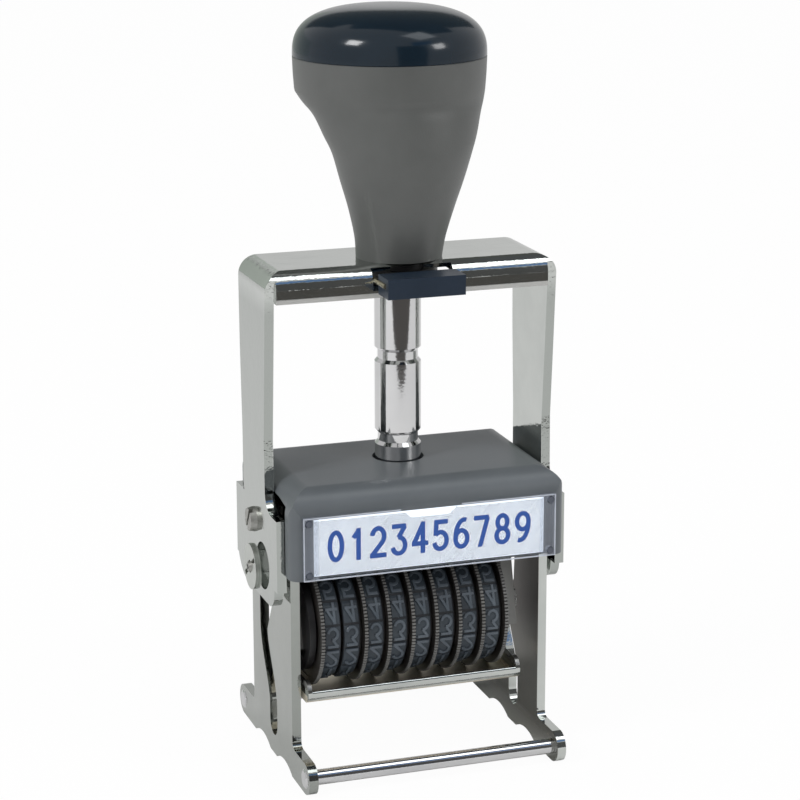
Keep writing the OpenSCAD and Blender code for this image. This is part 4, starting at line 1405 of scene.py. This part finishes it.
@dataclass
class Studio:
    """White floor, plain soft light and the cards that the plating reflects."""

    world_level: float = 0.68
    floor_half: float = 5.0
    floor_tone: float = 0.9
    floor_glow: float = 0.96
    aim: Triple = (0.0, 0.0, 0.08)
    lamps: tuple[Lamp, ...] = (
        Lamp("key_light", (-1.08, -0.41, 1.13), 0.4, 9.0),
        Lamp("fill_light", (0.98, -0.96, 0.78), 0.36, 4.0),
    )
    cards: tuple[Card, ...] = (
        Card("flag_front", (0.02, -0.62, 0.002), (0.0, 0.0, 1.0), 0.9, 0.56, (0.10, 0.095, 0.09)),
        Card("flag_camera", (0.20, -1.1, 0.36), (0.0, 1.0, -0.2), 0.75, 0.95, (0.10, 0.10, 0.10)),
        Card("flag_back", (0.35, 1.0, 1.0), (-0.3, -1.0, -0.9), 1.6, 0.9, (0.10, 0.105, 0.10)),
        Card("flag_top", (0.35, 0.35, 1.30), (-0.2, -0.2, -1.0), 1.3, 0.8, (0.10, 0.105, 0.11)),
        Card("sky_white", (0.37, -0.36, 1.14), (-0.3, 0.3, -1.0), 0.42, 0.44, (0.95, 0.98, 1.0), 3.0),
        Card("sky_blue", (0.40, -0.80, 0.88), (-0.3, 0.7, -0.7), 0.45, 0.24, (0.14, 0.26, 0.50)),
        Card("screen_left", (-0.6, 1.5, 0.2), (0.3, -1.0, 0.0), 2.0, 1.0, (0.50, 0.54, 0.50)),
    )

    def build(self) -> None:
        """Build the world, the floor, the lamps and the cards."""
        scene = bpy.context.scene
        scene.view_settings.view_transform = "Standard"
        self._world(scene)
        self._floor()
        for lamp in self.lamps:
            self._lamp(lamp)
        for card in self.cards:
            self._card(card)

    def _world(self, scene: bpy.types.Scene) -> None:
        """Make a world that is white to the eye and plain grey light on the object.

        Args:
            scene: The scene it is made for.
        """
        world = bpy.data.worlds.new("studio")
        world.use_nodes = True
        scene.world = world
        nodes = world.node_tree.nodes
        links = world.node_tree.links
        light = nodes["Background"]
        light.inputs["Color"].default_value = rgba(1.0)
        light.inputs["Strength"].default_value = self.world_level
        seen = nodes.new("ShaderNodeBackground")
        seen.inputs["Color"].default_value = rgba(1.0)
        path = nodes.new("ShaderNodeLightPath")
        mix = nodes.new("ShaderNodeMixShader")
        links.new(path.outputs["Is Camera Ray"], mix.inputs["Fac"])
        links.new(light.outputs["Background"], mix.inputs[1])
        links.new(seen.outputs["Background"], mix.inputs[2])
        links.new(mix.outputs["Shader"], nodes["World Output"].inputs["Surface"])

    def _floor(self) -> None:
        """Make the white floor, which keeps a faint shadow of the object."""
        material = bpy.data.materials.new("white_floor")
        material.use_nodes = True
        nodes = material.node_tree.nodes
        links = material.node_tree.links
        nodes.clear()
        output = nodes.new("ShaderNodeOutputMaterial")
        matt = nodes.new("ShaderNodeBsdfDiffuse")
        matt.inputs["Color"].default_value = rgba(self.floor_tone)
        glow = nodes.new("ShaderNodeEmission")
        path = nodes.new("ShaderNodeLightPath")
        share = nodes.new("ShaderNodeMath")
        share.operation = "MULTIPLY"
        share.inputs[1].default_value = self.floor_glow
        mix = nodes.new("ShaderNodeMixShader")
        links.new(path.outputs["Is Camera Ray"], share.inputs[0])
        links.new(share.outputs["Value"], mix.inputs["Fac"])
        links.new(matt.outputs["BSDF"], mix.inputs[1])
        links.new(glow.outputs["Emission"], mix.inputs[2])
        links.new(mix.outputs["Shader"], output.inputs["Surface"])
        self._sheet("floor", self.floor_half, self.floor_half, material)

    def _sheet(self, name: str, half_x: float, half_y: float, material: bpy.types.Material) -> bpy.types.Object:
        """Put a flat rectangle in the set, which isn't part of the object.

        Args:
            name: Name of the sheet.
            half_x: Half its width.
            half_y: Half its length.
            material: Its material.

        Returns:
            The new object, flat on the origin.
        """
        mesh = bpy.data.meshes.new(name)
        corners = [(-half_x, -half_y, 0), (half_x, -half_y, 0), (half_x, half_y, 0), (-half_x, half_y, 0)]
        mesh.from_pydata(corners, [], [(0, 1, 2, 3)])
        mesh.materials.append(material)
        sheet = bpy.data.objects.new(name, mesh)
        bpy.context.scene.collection.objects.link(sheet)
        return sheet

    def _lamp(self, lamp: Lamp) -> None:
        """Hang a lamp.

        Args:
            lamp: Its place, size and power.
        """
        data = bpy.data.lights.new(lamp.name, "AREA")
        data.shape = "SQUARE"
        data.size = lamp.size
        data.energy = lamp.power
        obj = bpy.data.objects.new(lamp.name, data)
        obj.location = lamp.place
        obj.rotation_mode = "QUATERNION"
        obj.rotation_quaternion = (Vector(self.aim) - Vector(lamp.place)).to_track_quat("-Z", "Y")
        bpy.context.scene.collection.objects.link(obj)

    def _card(self, card: Card) -> None:
        """Put up a card, which only reflections see.

        Args:
            card: Its place, size and glow.
        """
        material = bpy.data.materials.new(card.name)
        material.use_nodes = True
        nodes = material.node_tree.nodes
        nodes.clear()
        glow = nodes.new("ShaderNodeEmission")
        glow.inputs["Color"].default_value = rgba(card.colour)
        glow.inputs["Strength"].default_value = card.strength
        output = nodes.new("ShaderNodeOutputMaterial")
        material.node_tree.links.new(glow.outputs["Emission"], output.inputs["Surface"])
        sheet = self._sheet(card.name, card.width / 2, card.height / 2, material)
        sheet.location = card.centre
        sheet.rotation_mode = "QUATERNION"
        sheet.rotation_quaternion = Vector(card.facing).to_track_quat("Z", "Y")
        sheet.visible_camera = False
        sheet.visible_diffuse = False
        sheet.visible_shadow = False
        sheet.visible_transmission = False


@dataclass(frozen=True)
class Viewpoint:
    """The camera: a long lens from the front left, a little above the machine."""

    place: Triple = (-0.1854, -0.5512, 0.2385)
    azimuth: float = 18.643
    pitch: float = 14.831
    roll: float = -0.119
    focal_px: float = 2556.5
    frame_px: float = 800.0
    sensor: float = 36.0
    clip_start: float = 0.01
    clip_end: float = 20.0

    def build(self) -> None:
        """Make the camera and use it."""
        data = bpy.data.cameras.new("viewpoint")
        data.sensor_width = self.sensor
        data.lens = self.sensor * self.focal_px / self.frame_px
        data.clip_start = self.clip_start
        data.clip_end = self.clip_end
        azimuth = math.radians(self.azimuth)
        pitch = math.radians(self.pitch)
        level = math.cos(pitch)
        forward = Vector((math.sin(azimuth) * level, math.cos(azimuth) * level, -math.sin(pitch)))
        right = Vector((math.cos(azimuth), -math.sin(azimuth), 0.0))
        up = right.cross(forward)
        turn = math.radians(self.roll)
        right, up = right * math.cos(turn) + up * math.sin(turn), up * math.cos(turn) - right * math.sin(turn)
        camera = bpy.data.objects.new("viewpoint", data)
        axes = Matrix((right, up, -forward)).transposed()
        camera.matrix_world = Matrix.Translation(self.place) @ axes.to_4x4()
        bpy.context.scene.collection.objects.link(camera)
        bpy.context.scene.camera = camera


def main() -> None:
    """Build everything in order."""
    logging.basicConfig(level=logging.INFO, format="%(name)s: %(message)s")
    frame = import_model()
    nodes = frame["nodes"]
    shop = Workshop()
    Metalwork(shop, nodes).build()
    Mouldings(shop, nodes).build()
    NumberBands(shop, nodes).build()
    ThumbWheels(shop, nodes).build()
    Label(shop, nodes).build()
    Grip(shop).build()
    ReturnSpring(shop).build()
    Studio().build()
    Viewpoint().build()


if __name__ == "__main__":
    main()
